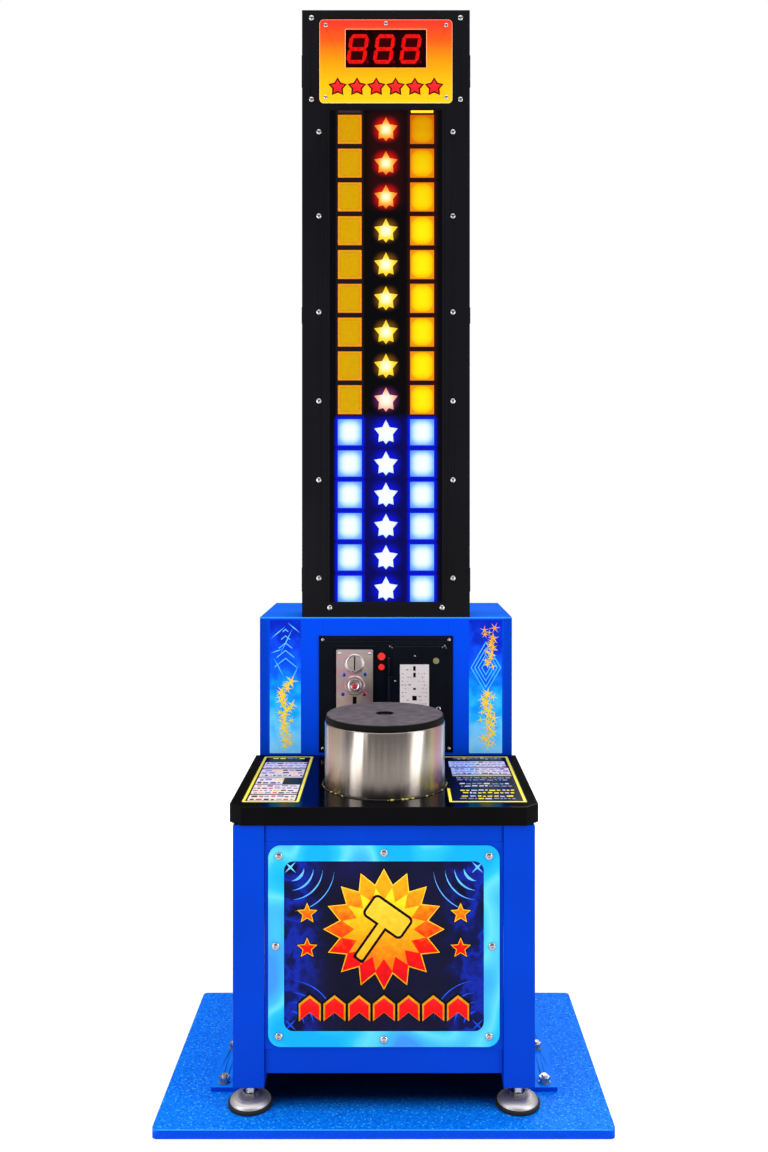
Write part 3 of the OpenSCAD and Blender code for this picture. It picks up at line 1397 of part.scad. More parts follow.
// Levelling feet: a domed pad that stays put, and a threaded stem that turns in it
foot_places = [[-leg_x, leg_front_y, plate_h], [leg_x, leg_front_y, plate_h],
               [-leg_x, leg_rear_y, 0], [leg_x, leg_rear_y, 0]];
socket_depth = 9;
module foot_pad(place) {
    r = foot_d / 2;
    rim = 8;
    ledge = 3.5;
    top_r = stem_d / 2 + 6;
    dome = [for (a = [0 : 15 : 90]) [top_r + (r - ledge - top_r) * cos(a), rim + (foot_h - rim) * sin(a)]];
    color("dimgray") translate(place) difference() {
        rotate_extrude() polygon(concat([[0, 0], [r - 1, 0], [r, 1], [r, rim - 1]], dome, [[0, foot_h]]));
        translate([0, 0, foot_h - socket_depth])
            cylinder(h = socket_depth + 1, d = stem_d + 2 * running_gap);
    }
}
module foot_stem(place) {
    bottom = foot_h - socket_depth + seat_gap;
    top = leg_bottom_z + stem_in_leg - place[2];
    color("silver") translate(place) {
        translate([0, 0, bottom]) cylinder(h = top - bottom, d = stem_d);
        translate([0, 0, foot_h + seat_gap]) cylinder(h = hex_h, d = across_corners(stem_d * 1.4), $fn = 6);
    }
}
module foot_pad_front_left() { foot_pad(foot_places[0]); }
module foot_pad_front_right() { foot_pad(foot_places[1]); }
module foot_pad_rear_left() { foot_pad(foot_places[2]); }
module foot_pad_rear_right() { foot_pad(foot_places[3]); }
module foot_stem_front_left() { foot_stem(foot_places[0]); }
module foot_stem_front_right() { foot_stem(foot_places[1]); }
module foot_stem_rear_left() { foot_stem(foot_places[2]); }
module foot_stem_rear_right() { foot_stem(foot_places[3]); }

base_plate();
base_frame();
plate_brackets();
hex_bolts();
front_hatch();
art_panel();
base_panels();
table_top();
drum_trim();
guide_housing();
guide_bush();
buffer_column();
strike_sensor();
strike_spring();
drum_sleeve();
drum_head();
strike_pad();
head_bolt();
plunger_shaft();
shaft_collar();
cabinet_shell();
coin_panel();
coin_faceplate();
coin_mech();
return_button();
credit_button();
test_button();
service_door();
service_hinge();
info_plate();
door_lock();
cash_box();
rear_door();
rear_hinge();
rear_lock();
power_supply();
control_board();
mains_inlet();
tower_shell();
tower_back();
front_frame();
light_panel();
amber_dim_lenses();
amber_lit_lenses();
blue_lenses();
star_lenses();
led_boards();
head_plate();
marquee_panel();
display_module();
digit_segments();
button_head_screws();
foot_pad_front_left();
foot_pad_front_right();
foot_pad_rear_left();
foot_pad_rear_right();
foot_stem_front_left();
foot_stem_front_right();
foot_stem_rear_left();
foot_stem_rear_right();
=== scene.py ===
# %% [markdown]
# # Dressing a strength tester
#
# The machine is a sprung drum in a low table, a coin cabinet behind it and a tower of lights. Its solids
# are already made at their real size, so this script gives them their paint, metal, rubber, print and
# light, and adds the thin printed sheets and small trim that the solids leave out.
#
# Everything is in metres in one frame: the floor is z = 0 and the front of the machine looks towards -Y.

# %% Load the solids
import math
import random

import bmesh
import bpy
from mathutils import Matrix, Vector
from mathutils.geometry import tessellate_polygon


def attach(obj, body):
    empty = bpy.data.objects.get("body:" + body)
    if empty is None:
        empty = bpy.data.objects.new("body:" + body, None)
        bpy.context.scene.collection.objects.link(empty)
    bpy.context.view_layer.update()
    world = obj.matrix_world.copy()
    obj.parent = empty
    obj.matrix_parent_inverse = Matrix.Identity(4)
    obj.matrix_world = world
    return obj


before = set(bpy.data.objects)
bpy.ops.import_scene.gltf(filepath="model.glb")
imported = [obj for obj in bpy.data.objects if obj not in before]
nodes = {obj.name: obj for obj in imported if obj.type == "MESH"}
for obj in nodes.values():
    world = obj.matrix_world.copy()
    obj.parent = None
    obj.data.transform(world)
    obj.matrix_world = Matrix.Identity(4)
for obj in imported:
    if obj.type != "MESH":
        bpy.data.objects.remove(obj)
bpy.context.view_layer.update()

# %% [markdown]
# ## Measures, colours and one way to add a shader node
#
# Sizes are easiest to read in millimetres, so `mm` turns them to metres. Colours are easiest to read as
# the hex values of a screen, but a renderer adds light, so it wants linear numbers: `linear` undoes the
# screen's curve. Every material below is a small graph, and `add` is the only function that adds to it: it
# makes a node, sets its options, and either sets or links each input.

# %% Units, colour and node helper
mm = 0.001
NOISE = (0.3, 0.7)  # nearly all of a noise pattern lies between these values
COLOUR = {"data_type": "RGBA", "out": 2}  # a Mix node for colours: inputs 0, 6 and 7, output 2


def linear(code):
    """The linear colour, with its alpha, of a hex value of the screen."""
    channels = [int(code[i:i + 2], 16) / 255 for i in (1, 3, 5)]
    return [c / 12.92 if c < 0.04045 else ((c + 0.055) / 1.055) ** 2.4 for c in channels] + [1.0]


def even(codes, low, high):
    """Colour stops in equal steps from low to high, for hex values written in one string."""
    codes = codes.split()
    return [(low + (high - low) * i / (len(codes) - 1), code) for i, code in enumerate(codes)]


def add(tree, kind, inputs=None, stops=(), out=0, **options):
    """Adds a shader node and gives back one of its outputs, or the node where out is None.

    stops colours a ramp: a list of (place, hex), or a string of hex values spread over the noise.
    """
    made = tree.nodes.new("ShaderNode" + kind)
    for name, value in options.items():
        setattr(made, name, value)
    for name, value in (inputs or {}).items():
        if isinstance(value, bpy.types.NodeSocket):
            tree.links.new(value, made.inputs[name])
        else:
            made.inputs[name].default_value = value
    for number, (place, code) in enumerate(even(stops, *NOISE) if isinstance(stops, str) else stops):
        points = made.color_ramp.elements
        point = points[number] if number < len(points) else points.new(place)
        point.position = place
        point.color = linear(code)
    return made if out is None else made.outputs[out]


print("mid grey is", round(linear("#808080")[0], 3), "in linear light")

# %% [markdown]
# Seven short functions build on `add`. `shader` starts a material; paint and plastic are its default, with
# metallic 0 and IOR 1.5. `speckle` is noise of a given grain, `spread` gives noise another range, `rise`
# is a slope between two levels, `mirrored` makes left and right alike, and `looks_up` tells level faces
# from upright ones by the surface's own normal. `dress` lays such patterns on the material, and finishes
# those that come with a range.

# %% Materials and their patterns
def shader(name, **sockets):
    """A material with one Principled shader, and the object's own coordinates to draw patterns in."""
    material = bpy.data.materials.new(name)
    material.use_nodes = True
    tree = material.node_tree
    tree.nodes.clear()
    inputs = {"Metallic": 0.0, "IOR": 1.5}
    inputs.update({key.replace("_", " "): value for key, value in sockets.items()})
    surface = add(tree, "BsdfPrincipled", inputs, out=None)
    add(tree, "OutputMaterial", {"Surface": surface.outputs[0]}, out=None)
    return material, tree, surface, add(tree, "TexCoord", out="Object")


def speckle(tree, where, size_mm, detail=2.0, stretch=(1, 1, 1)):
    """Noise whose grains are about size_mm wide; stretch makes them longer along an axis."""
    scale = [1 / (size_mm * mm * s) for s in stretch]
    vector = add(tree, "Mapping", {"Vector": where, "Scale": scale})
    return add(tree, "TexNoise", {"Vector": vector, "Scale": 1.0, "Detail": detail}, out="Fac")


def spread(tree, value, low, high):
    """Stretches a noise pattern over the range from low to high."""
    return add(tree, "MapRange", {"Value": value, "From Min": NOISE[0], "From Max": NOISE[1],
                                  "To Min": low, "To Max": high})


def rise(tree, where, axis, start, end, low=0.0, high=1.0, **options):
    """Goes from low to high while a point moves from start to end, in mm, along an axis."""
    level = add(tree, "SeparateXYZ", {"Vector": where}, out=axis)
    return add(tree, "MapRange", {"Value": level, "From Min": start * mm, "From Max": end * mm,
                                  "To Min": low, "To Max": high}, **options)


def mirrored(tree, where):
    """Moves every place to the positive side of each axis."""
    return add(tree, "VectorMath", {0: where}, operation="ABSOLUTE")


def looks_up(tree, low, high):
    """0 where the normal's Z is low or less, 1 where it is high or more."""
    tilt = add(tree, "SeparateXYZ", {"Vector": add(tree, "TexCoord", out="Normal")}, out="Z")
    return add(tree, "MapRange", {"Value": tilt, "From Min": low, "From Max": high})


def dress(tree, surface, tint=None, rough=None, relief=None, glow=None):
    """Lays patterns on a surface: colours, a roughness range, a relief in mm, colours that shine."""
    def colours(value, stops):
        return add(tree, "ValToRGB", {"Fac": value}, stops)

    def roughness(value, low, high):
        return spread(tree, value, low, high)

    def bump(value, depth_mm, strength):
        return add(tree, "Bump", {"Height": value, "Distance": depth_mm * mm, "Strength": strength})

    for socket, pattern, finish in (("Base Color", tint, colours), ("Emission Color", glow, colours),
                                    ("Roughness", rough, roughness), ("Normal", relief, bump)):
        if pattern is not None:
            finished = isinstance(pattern, bpy.types.NodeSocket)
            tree.links.new(pattern if finished else finish(*pattern), surface.inputs[socket])


print("helpers:", [f.__name__ for f in (shader, speckle, spread, rise, mirrored, looks_up, dress)])

# %% [markdown]
# ## The photographer's place
#
# The photograph is taken square to the front, at 1.18 m above the floor and about two metres from the
# base plate's edge. The lens was shifted down and a little left, which keeps the tower's sides upright.
# The focal length comes from the picture: 1050 pixels in a picture 1152 pixels high.

# %% Camera
PICTURE_W, PICTURE_H = 768, 1152
FOCAL_PIXELS = 1050
HORIZON_PIXEL = 500
VANISHING_PIXEL = 396
SENSOR = 36

camera = bpy.data.objects.new("camera", bpy.data.cameras.new("camera"))
bpy.context.scene.collection.objects.link(camera)
bpy.context.scene.camera = camera
camera.location = (0.023, -2.3425, 1.1824)
camera.rotation_euler = (math.radians(90), 0, 0)
camera.data.sensor_width = SENSOR
camera.data.lens = SENSOR * FOCAL_PIXELS / PICTURE_H
camera.data.shift_x = -(VANISHING_PIXEL - PICTURE_W / 2) / PICTURE_H
camera.data.shift_y = -(PICTURE_H / 2 - HORIZON_PIXEL) / PICTURE_H
print("lens", round(camera.data.lens, 1), "mm, shift", round(camera.data.shift_y, 3))

# %% [markdown]
# ## A pale studio
#
# The machine stands on a pale seamless floor against a white wall. Gloss shows whatever is in front of
# it, and this paint must stay a deep blue and a deep black, so the room is dim on the photographer's
# side and far behind, pale at both sides, and bright overhead. Only the view itself sees the wall as
# white, as when a studio lights its backdrop apart. Wide, soft lamps at both sides draw the two bright
# bands on the steel drum and the highlights on edges. The plain sRGB view keeps strong blues and reds as
# they are.

# %% Floor, room and lamps
FLOOR_RADIUS = 60
OVERHEAD_LIGHT = (1.5, 1.5, 1.5, 1.0)

bpy.context.scene.view_settings.view_transform = "Standard"
floor_mesh = bmesh.new()
bmesh.ops.create_circle(floor_mesh, cap_ends=True, segments=96, radius=FLOOR_RADIUS)
floor = bpy.data.objects.new("floor", bpy.data.meshes.new("floor"))
floor_mesh.to_mesh(floor.data)
floor_mesh.free()
bpy.context.scene.collection.objects.link(floor)
floor_paint, tree, surface, where = shader("pale_seamless_floor", Roughness=0.9, Specular_IOR_Level=0.0,
                                           Emission_Strength=0.42)
paper = speckle(tree, where, 400)
dress(tree, surface, tint=(paper, "#D2D4D6 #D8DADC"), glow=(paper, "#FCFDFE #FFFFFF"))
floor.data.materials.append(floor_paint)

room = bpy.data.worlds.new("studio")
bpy.context.scene.world = room
room.use_nodes = True
tree = room.node_tree
tree.nodes.clear()
across = add(tree, "SeparateXYZ", {"Vector": add(tree, "TexCoord", out="Generated")}, out=None)
behind = add(tree, "MapRange", {"Value": across.outputs["Y"], "From Min": -0.2, "From Max": 1.0})
overhead = add(tree, "MapRange", {"Value": across.outputs["Z"], "From Min": 0.5, "From Max": 0.85})
walls = add(tree, "ValToRGB", {"Fac": behind},
            [(0.06, "#242629"), (0.25, "#D2C6BA"), (0.6, "#D2C6BA"), (0.8, "#3C3C3E")])
sky = add(tree, "Mix", {0: overhead, 6: walls, 7: OVERHEAD_LIGHT}, **COLOUR)
seen = add(tree, "LightPath", out="Is Camera Ray")
backdrop = add(tree, "Mix", {0: seen, 6: sky, 7: linear("#FFFFFF")}, **COLOUR)
add(tree, "OutputWorld", {"Surface": add(tree, "Background", {"Color": backdrop, "Strength": 1.0})},
    out=None)

for name, place, aim, size, power in (
        ("left_softbox", (-2.45, -1.94, 1.45), (0, -0.2, 1.25), (1.2, 2.7), 54),
        ("right_softbox", (2.55, -1.8, 1.45), (0, -0.2, 1.25), (1.2, 2.7), 54),
        ("top_softbox", (0.0, -0.6, 4.2), (0, -0.2, 0.0), (3.0, 2.4), 30),
        ("back_softbox", (0.6, 3.2, 2.8), (0, 0.3, 0.8), (2.4, 1.4), 60)):
    lamp = bpy.data.lights.new(name, "AREA")
    lamp.shape = "RECTANGLE"
    lamp.size, lamp.size_y = size
    lamp.energy = power
    holder = bpy.data.objects.new(name, lamp)
    bpy.context.scene.collection.objects.link(holder)
    holder.location = place
    holder.rotation_euler = (Vector(aim) - Vector(place)).to_track_quat("-Z", "Y").to_euler()

# %% [markdown]
# ## Paint
#
# The legs, rails and cabinet are welded steel with a gloss **powder coat**. Powder flows as it bakes, so
# the coat has a faint orange peel, a waviness a few millimetres wide that breaks up reflections. The
# waves are drawn in the normal, not the shape, because they are a few hundredths of a millimetre deep.
# The specular level is low, because a deep blue on a screen has no room for the white that a gloss adds.
# Faces that look up take a lighter blue, as painted light from the ceiling, and dust dulls their gloss.
# The cabinet's folded upper edge is round and catches that light, which is drawn as a paler line 3 mm wide.
# The cabinet's face takes a brighter blue than the legs, as painted light, and falls back to the darker
# blue along its sides, as painted shade.

# %% Gloss blue powder coat
CABINET_FOOT, CABINET_TOP, CABINET_FRONT, CABINET_SIDE = 600, 915, 52.5, 272

powder_blue, tree, surface, where = shader("gloss_powder_coat_blue", Specular_IOR_Level=0.03)
waves = speckle(tree, where, 3.0, 3.0)
clouds = speckle(tree, where, 160, 1.0)
upright = add(tree, "ValToRGB", {"Fac": clouds}, "#0039B8 #003DC2")
# painted light: the lighter blue of the faces that look up
level = add(tree, "ValToRGB", {"Fac": clouds}, "#005CE2 #0068EE")
# painted light on the cabinet's face, and painted shade along its sides
cabinet = add(tree, "Math", {0: rise(tree, where, "Z", CABINET_FOOT - 40, CABINET_FOOT + 20),
                             1: rise(tree, mirrored(tree, where), "X", CABINET_SIDE, CABINET_SIDE - 10)},
              operation="MULTIPLY")
upright = add(tree, "Mix", {0: cabinet, 6: upright, 7: linear("#0046E2")}, **COLOUR)
upwards = looks_up(tree, 0.5, 1.0)
coat = add(tree, "Mix", {0: upwards, 6: upright, 7: level}, **COLOUR)
crest = add(tree, "Math", {0: rise(tree, where, "Z", CABINET_TOP - 3.2, CABINET_TOP - 1.8),
                           1: rise(tree, where, "Y", CABINET_FRONT + 5.5, CABINET_FRONT + 2.5)},
            operation="MULTIPLY")
coat = add(tree, "Mix", {0: crest, 6: coat, 7: linear("#3494FF")}, **COLOUR)
dust = add(tree, "Mix", {0: upwards, 2: spread(tree, waves, 0.26, 0.36), 3: 0.9}, data_type="FLOAT")
dress(tree, surface, coat, dust, (waves, 0.05, 0.5))
print(powder_blue.name)

# %% [markdown]
# The plate that the player stands in front of wears a **hammered enamel**: stoving paint that pulls
# itself into shallow dimples about 5 mm wide. Cells of a Voronoi pattern have that shape. The dimples
# bend the normal and lighten the colour, and a wider set of cells adds the bright specks where one
# catches the light. Under the machine the enamel is darkened as a painted shadow.
# The plate's upright faces take a darker blue than its top, as painted shade, and its front edge carries
# a painted highlight along its top. The angle brackets on it are brushed with the same blue, but smooth,
# lighter on the faces that look up as painted light, and fine brush marks, 4 mm long, run across them.

# %% Hammered and smooth blue enamel
HAMMER_DIMPLE, SPECK_PITCH = 5.0, 8.0
PLATE_THICK = 18
SHADOW_X, SHADOW_Y = (262, 236), (-352, -285)  # the painted shadow sets in between these, inwards and backwards

enamel_blue, tree, surface, where = shader("hammered_enamel_blue", Specular_IOR_Level=0.03)
wander = add(tree, "TexNoise", {"Vector": where, "Scale": 1 / (9 * mm), "Detail": 1.0}, out="Color")
wander = add(tree, "VectorMath", {0: wander, "Scale": 4 * mm}, operation="SCALE")
bent = add(tree, "VectorMath", {0: where, 1: wander}, operation="ADD")
dimples = add(tree, "TexVoronoi", {"Vector": bent, "Scale": 1 / (HAMMER_DIMPLE * mm), "Smoothness": 0.5},
              feature="SMOOTH_F1", out="Distance")
specks = add(tree, "TexVoronoi", {"Vector": bent, "Scale": 1 / (SPECK_PITCH * mm)}, out="Distance")
specks = add(tree, "MapRange", {"Value": specks, "From Min": 0.08, "From Max": 0.32, "To Min": 0.65,
                                "To Max": 0.0})
top = add(tree, "ValToRGB", {"Fac": dimples},
          [(0.0, "#1E9CFF"), (0.2, "#0A84F4"), (0.45, "#0476EA"), (0.8, "#0464DC")])
top = add(tree, "Mix", {0: specks, 6: top, 7: linear("#58C8FF")}, **COLOUR)
# painted shadow: the enamel under the machine is darkened
under = add(tree, "Math", {0: rise(tree, mirrored(tree, where), "X", *SHADOW_X),
                           1: rise(tree, where, "Y", *SHADOW_Y, interpolation_type="SMOOTHSTEP")},
            operation="MULTIPLY")
light = add(tree, "MapRange", {"Value": under, "To Min": 1.0, "To Max": 0.05})
top = add(tree, "VectorMath", {0: top, "Scale": light}, operation="SCALE")
# painted shade on the upright faces, with a painted highlight along the plate's top edge
rim = add(tree, "Mix", {0: rise(tree, where, "Z", PLATE_THICK - 2.2, PLATE_THICK - 1.0),
                        6: add(tree, "ValToRGB", {"Fac": dimples}, even("#0450DC #0246D0", 0.0, 0.5)),
                        7: linear("#3CA8FF")}, **COLOUR)
dress(tree, surface, add(tree, "Mix", {0: looks_up(tree, 0.05, 0.3), 6: rim, 7: top}, **COLOUR),
      (dimples, 0.3, 0.45), (dimples, 0.5, 0.8))

bracket_blue, tree, surface, where = shader("smooth_enamel_blue", Specular_IOR_Level=0.03)
brushed = speckle(tree, where, 4, 2.0, (1, 0.05, 1))
# painted light: the brackets' faces that look up take a lighter blue than the upright ones
level = add(tree, "ValToRGB", {"Fac": brushed}, "#0474E6 #0A82F6")
coat = add(tree, "Mix", {0: looks_up(tree, 0.2, 0.9), 6: linear("#0346CE"), 7: level}, **COLOUR)
dress(tree, surface, coat, (brushed, 0.3, 0.42), (brushed, 0.03, 0.4))
print(enamel_blue.name, "with dimples of", HAMMER_DIMPLE, "mm;", bracket_blue.name)

# %% [markdown]
# The tower has a **satin black powder coat** with a fine sandy grain. Real grains are 0.3 mm, too fine to
# show here, so they are drawn 0.9 mm wide. The coin panel and its door are stoved in a bluer, smoother
# black, with a painted grey highlight on the ledges that look up. The table top is black too, but glossy:
# it mirrors the cabinet behind the drum. Its folded lip is handled all day and has lost that gloss. Black
# paint keeps a low specular level, or it turns grey in a white room.

# %% Black powder coats
powder_black, tree, surface, where = shader("satin_powder_coat_black", Specular_IOR_Level=0.08)
grains = speckle(tree, where, 0.9)
dress(tree, surface, (speckle(tree, where, 220), "#0D0C10 #121115"), (grains, 0.38, 0.5),
      (grains, 0.04, 0.5))

coin_black, tree, surface, where = shader("blue_black_stoved_enamel", Specular_IOR_Level=0.06)
grains = speckle(tree, where, 1.2)
flat = add(tree, "ValToRGB", {"Fac": speckle(tree, where, 60)}, "#060912 #0A0D18")
# painted highlight: grey on the ledges that look up
painted_ledge_highlight = add(tree, "Mix", {0: looks_up(tree, 0.2, 0.8), 6: flat, 7: linear("#464C58")}, **COLOUR)
dress(tree, surface, painted_ledge_highlight, (grains, 0.3, 0.42), (grains, 0.04, 0.5))

gloss_black, tree, surface, where = shader("gloss_powder_coat_black", Specular_IOR_Level=0.08)
polish = add(tree, "MapRange", {"Value": speckle(tree, where, 30, 4.0), "To Min": 0.08, "To Max": 0.16})
sheen = add(tree, "Mix", {0: looks_up(tree, 0.5, 0.9), 2: 0.85, 3: polish}, data_type="FLOAT")
dress(tree, surface, (speckle(tree, where, 90, 3.0), "#010102 #040406"), sheen,
      (speckle(tree, where, 3.5), 0.02, 0.3))
print(powder_black.name, coin_black.name, gloss_black.name)

# %% [markdown]
# ## Bare metal
#
# A metal's colour lives in its reflection: metallic 1, and a colour that tints what it mirrors. What tells
# metals apart is how they were worked. The drum's sleeve is **stainless steel brushed round and round**,
# so its scratches are long along the circumference and 1.4 mm apart in height (drawn coarser than the
# real 0.2 mm), and its highlight stretches up and down. Its colour carries a painted reflection: paler,
# straw and rose towards both flanks and darker in the middle, with painted shade low down in the middle
# and high up on the flanks. Turned steel has rings, plated steel a cloudy sheen, and cast zinc a fine
# pebble. On the coin faceplate the plating is thin and shimmers pink and straw.

# %% Stainless, plated and turned metals
SLEEVE_R, SLEEVE_Z = 118, (615, 700)
FLANK_X = (34, 60)
PAINTED_REFLECTION = [(-118, "#E0D4CC"), (-110, "#C8A8A0"), (-98, "#CDBBA4"), (-84, "#D2C8C2"), (-70, "#B8AEA8"),
        (-55, "#A89E96"), (0, "#A4978F"), (55, "#A89E96"), (70, "#BCB4AC"), (84, "#D0CBC2"),
        (94, "#DCCFA8"), (104, "#D8A8BC"), (112, "#C8B0C8"), (118, "#F0EAEC")]
MULTIPLIED = {"blend_type": "MULTIPLY", **COLOUR}


def worked_metal(name, tones, rough, grain_mm, stretch=(1, 1, 1), depth_mm=0.01, cloud_mm=40, **sockets):
    """Bare metal with the grain that its tool left, under wider and softer clouds."""
    material, tree, surface, where = shader(name, Metallic=1.0, **sockets)
    grain = speckle(tree, where, grain_mm, 3.0, stretch)
    both = add(tree, "Math", {0: grain, 1: speckle(tree, where, cloud_mm, 3.0)}, operation="ADD")
    half = add(tree, "Math", {0: both, 1: 0.5}, operation="MULTIPLY")
    dress(tree, surface, (half, even(tones, 0.35, 0.65)), (grain, *rough), (grain, depth_mm, 0.6))
    return material


stainless = worked_metal("brushed_stainless_steel", "#F6F4F3 #FFFFFF", (0.279, 0.283), 1.4, (90, 90, 1),
                         0.0003, 90, Anisotropic=0.85, Anisotropic_Rotation=0.25)
tree, surface = stainless.node_tree, stainless.node_tree.nodes["Principled BSDF"]
brushed = surface.inputs["Base Color"].links[0].from_socket
where = add(tree, "TexCoord", out="Object")
# painted reflection: paler, straw and rose at both flanks, darker in the middle
painted_reflection = add(tree, "ValToRGB", {"Fac": rise(tree, where, "X", -SLEEVE_R, SLEEVE_R)},
           [((x + SLEEVE_R) / (2 * SLEEVE_R), tone) for x, tone in PAINTED_REFLECTION])
# painted shade: the middle darker low down, the flanks darker high up
flank = rise(tree, mirrored(tree, where), "X", *FLANK_X)
foot_tone = add(tree, "MapRange", {"Value": flank, "To Min": 0.6, "To Max": 1.0})
head_tone = add(tree, "MapRange", {"Value": flank, "To Min": 1.0, "To Max": 0.75})
shade = rise(tree, where, "Z", *SLEEVE_Z, foot_tone, head_tone)
painted_reflection = add(tree, "Mix", {0: 1.0, 6: painted_reflection, 7: shade}, **MULTIPLIED)
dress(tree, surface, add(tree, "Mix", {0: 1.0, 6: brushed, 7: painted_reflection}, **MULTIPLIED))

plated_zinc, tree, surface, where = shader("iridescent_chromed_casting", Metallic=1.0)
pebble = speckle(tree, where, 1.5, 3.0)
dress(tree, surface, (speckle(tree, where, 34, 1.5, (1, 1, 0.5)), [
    (0.34, "#D4A8B2"), (0.46, "#CBB4B4"), (0.58, "#C4B6B2"), (0.68, "#CFBFAE")]),
      (pebble, 0.3, 0.42), (pebble, 0.03, 0.6))

zinc_plate = worked_metal("zinc_plated_steel", "#989698 #CAC8C8", (0.2, 0.34), 2.0)
turned_steel = worked_metal("turned_bright_steel", "#86878B #B4B5B8", (0.22, 0.34), 0.8, (1, 1, 0.4))
spring_wire = worked_metal("oiled_spring_wire", "#4E5054 #7C7E82", (0.25, 0.4), 3.0)
cast_zinc = worked_metal("chromed_zinc_casting", "#CDB4B3 #EACFCC", (0.3, 0.42), 1.5, depth_mm=0.03)
brass = worked_metal("dull_brass", "#8C8460 #B4AB80", (0.3, 0.4), 1.0)
bronze = worked_metal("turned_bronze", "#8A5F38 #B98752", (0.25, 0.38), 0.8, (1, 1, 0.4))
mill_aluminium = worked_metal("mill_finish_aluminium", "#A5A7AA #C7C9CC", (0.3, 0.45), 1.0, (1, 40, 1))
screw_blue = worked_metal("blue_passivated_steel", "#2A3C9C #5468C8", (0.25, 0.35), 1.0)
screw_red = worked_metal("red_lacquered_steel", "#7A2430 #A84450", (0.25, 0.35), 1.0)
pale_nickel = worked_metal("satin_nickel", "#B8B4B6 #E4E0E2", (0.22, 0.32), 1.0)
print(sum("steel" in m.name for m in bpy.data.materials), "kinds of steel, and seven other metals")

# %% [markdown]
# Each foot is a satin steel dome pressed over a black rubber tread, and the tread shows as a band 8 mm
# high. The front feet stand on the 18 mm plate and the rear ones on the floor. So the dome's colour,
# metallic and roughness give way to the rubber's below a level that depends on front or rear.

# %% Feet of steel and rubber
TREAD = 8

foot_steel, tree, surface, where = shader("satin_steel_dome_on_rubber")
grain = speckle(tree, where, 1.2, 2.0, (40, 40, 1))
spot = add(tree, "SeparateXYZ", {"Vector": where}, out=None)
front = add(tree, "Math", {0: spot.outputs["Y"], 1: 0.0}, operation="LESS_THAN")
tread_top = add(tree, "Math", {0: front, 1: PLATE_THICK * mm, 2: (TREAD + 0.3) * mm},
                operation="MULTIPLY_ADD")
dome = add(tree, "Math", {0: spot.outputs["Z"], 1: tread_top}, operation="GREATER_THAN")
steel = add(tree, "ValToRGB", {"Fac": grain}, "#B4B0AE #D8D4D2")
tree.links.new(dome, surface.inputs["Metallic"])
dress(tree, surface, add(tree, "Mix", {0: dome, 6: linear("#060807"), 7: steel}, **COLOUR),
      add(tree, "MapRange", {"Value": dome, "To Min": 0.7, "To Max": 0.52}), (grain, 0.01, 0.5))
print(foot_steel.name, "with a tread of", TREAD, "mm")

# %% [markdown]
# ## Castings, rubber and plastics
#
# The guide housing is a **grey-iron casting with machined faces**, painted thinly: casting sand leaves a
# pebble of 2 mm. The small mouldings are **ABS**, with the fine spark-eroded grain of their moulds. The
# buffer is cast **polyurethane**, amber and a little waxy. The circuit boards are glass laminate under a
# solder mask. The information plate is satin aluminium under a clear lacquer, so it shades like a paint.
# The trim ring of the drum is rubber, with remains of yellow paint.

# %% Castings, mouldings and boards
def plain_paint(name, tones, rough, grain_mm, depth_mm):
    """A plain skin of paint or plastic, with one grain for its roughness and its relief."""
    material, tree, surface, where = shader(name)
    grain = speckle(tree, where, grain_mm, 3.0)
    dress(tree, surface, (speckle(tree, where, 50, 3.0), tones), (grain, *rough), (grain, depth_mm, 0.6))
    return material


cast_iron = plain_paint("painted_iron_casting", "#33373D #41464D", (0.4, 0.6), 2.0, 0.15)
grey_enamel = plain_paint("grey_box_enamel", "#66707A #7A8590", (0.28, 0.4), 3.0, 0.03)
black_abs = plain_paint("moulded_abs_black", "#0B0B0D #141417", (0.4, 0.55), 1.0, 0.03)
red_abs = plain_paint("moulded_abs_red", "#E0120A #F2180C", (0.16, 0.24), 2.0, 0.02)
red_gem = plain_paint("garnet_red_plastic", "#A41E30 #BC2A3C", (0.12, 0.2), 2.0, 0.02)
polyurethane = plain_paint("cast_polyurethane", "#B25A12 #D2721C", (0.3, 0.42), 4.0, 0.05)
solder_mask = plain_paint("green_solder_mask", "#0A4A26 #116334", (0.25, 0.4), 2.5, 0.03)
white_mask = plain_paint("white_solder_mask", "#D5D8D4 #E8EAE6", (0.3, 0.45), 2.5, 0.03)
info_sheet = plain_paint("satin_printed_aluminium", "#D0C7CA #DAD1D3", (0.4, 0.5), 1.2, 0.02)
edge_rubber = plain_paint("extruded_rubber_edging", "#0C0C0C #161616", (0.5, 0.7), 1.5, 0.05)
tree, surface = edge_rubber.node_tree, edge_rubber.node_tree.nodes["Principled BSDF"]
flecks = add(tree, "TexVoronoi", {"Vector": add(tree, "TexCoord", out="Object"), "Scale": 1 / (13 * mm)},
             out="Distance")
dress(tree, surface, (flecks, [(0.0, "#D0C85A"), (0.24, "#C8BC4A"), (0.3, "#0A0A0A")]))
print(cast_iron.name, red_abs.name, polyurethane.name, edge_rubber.name)

# %% [markdown]
# The striking pad is **moulded rubber**. Its top is a lighter grey and its side near black, so the
# colour follows which way the face looks. Scuffs are longer than wide.

# %% Rubber pad
pad_rubber, tree, surface, where = shader("moulded_rubber_pad", IOR=1.52, Specular_IOR_Level=0.08)
grit = speckle(tree, where, 1.4)
grey_top = add(tree, "ValToRGB", {"Fac": speckle(tree, where, 14, 5.0, (1.6, 1, 1))},
            [(0.3, "#524C50"), (0.5, "#625B5F"), (0.72, "#70696D")])
grey_on_black = add(tree, "Mix", {0: looks_up(tree, 0.6, 0.95), 6: linear("#070607"), 7: grey_top}, **COLOUR)
dress(tree, surface, grey_on_black, (grit, 0.55, 0.75), (grit, 0.12, 0.6))
print(pad_rubber.name)

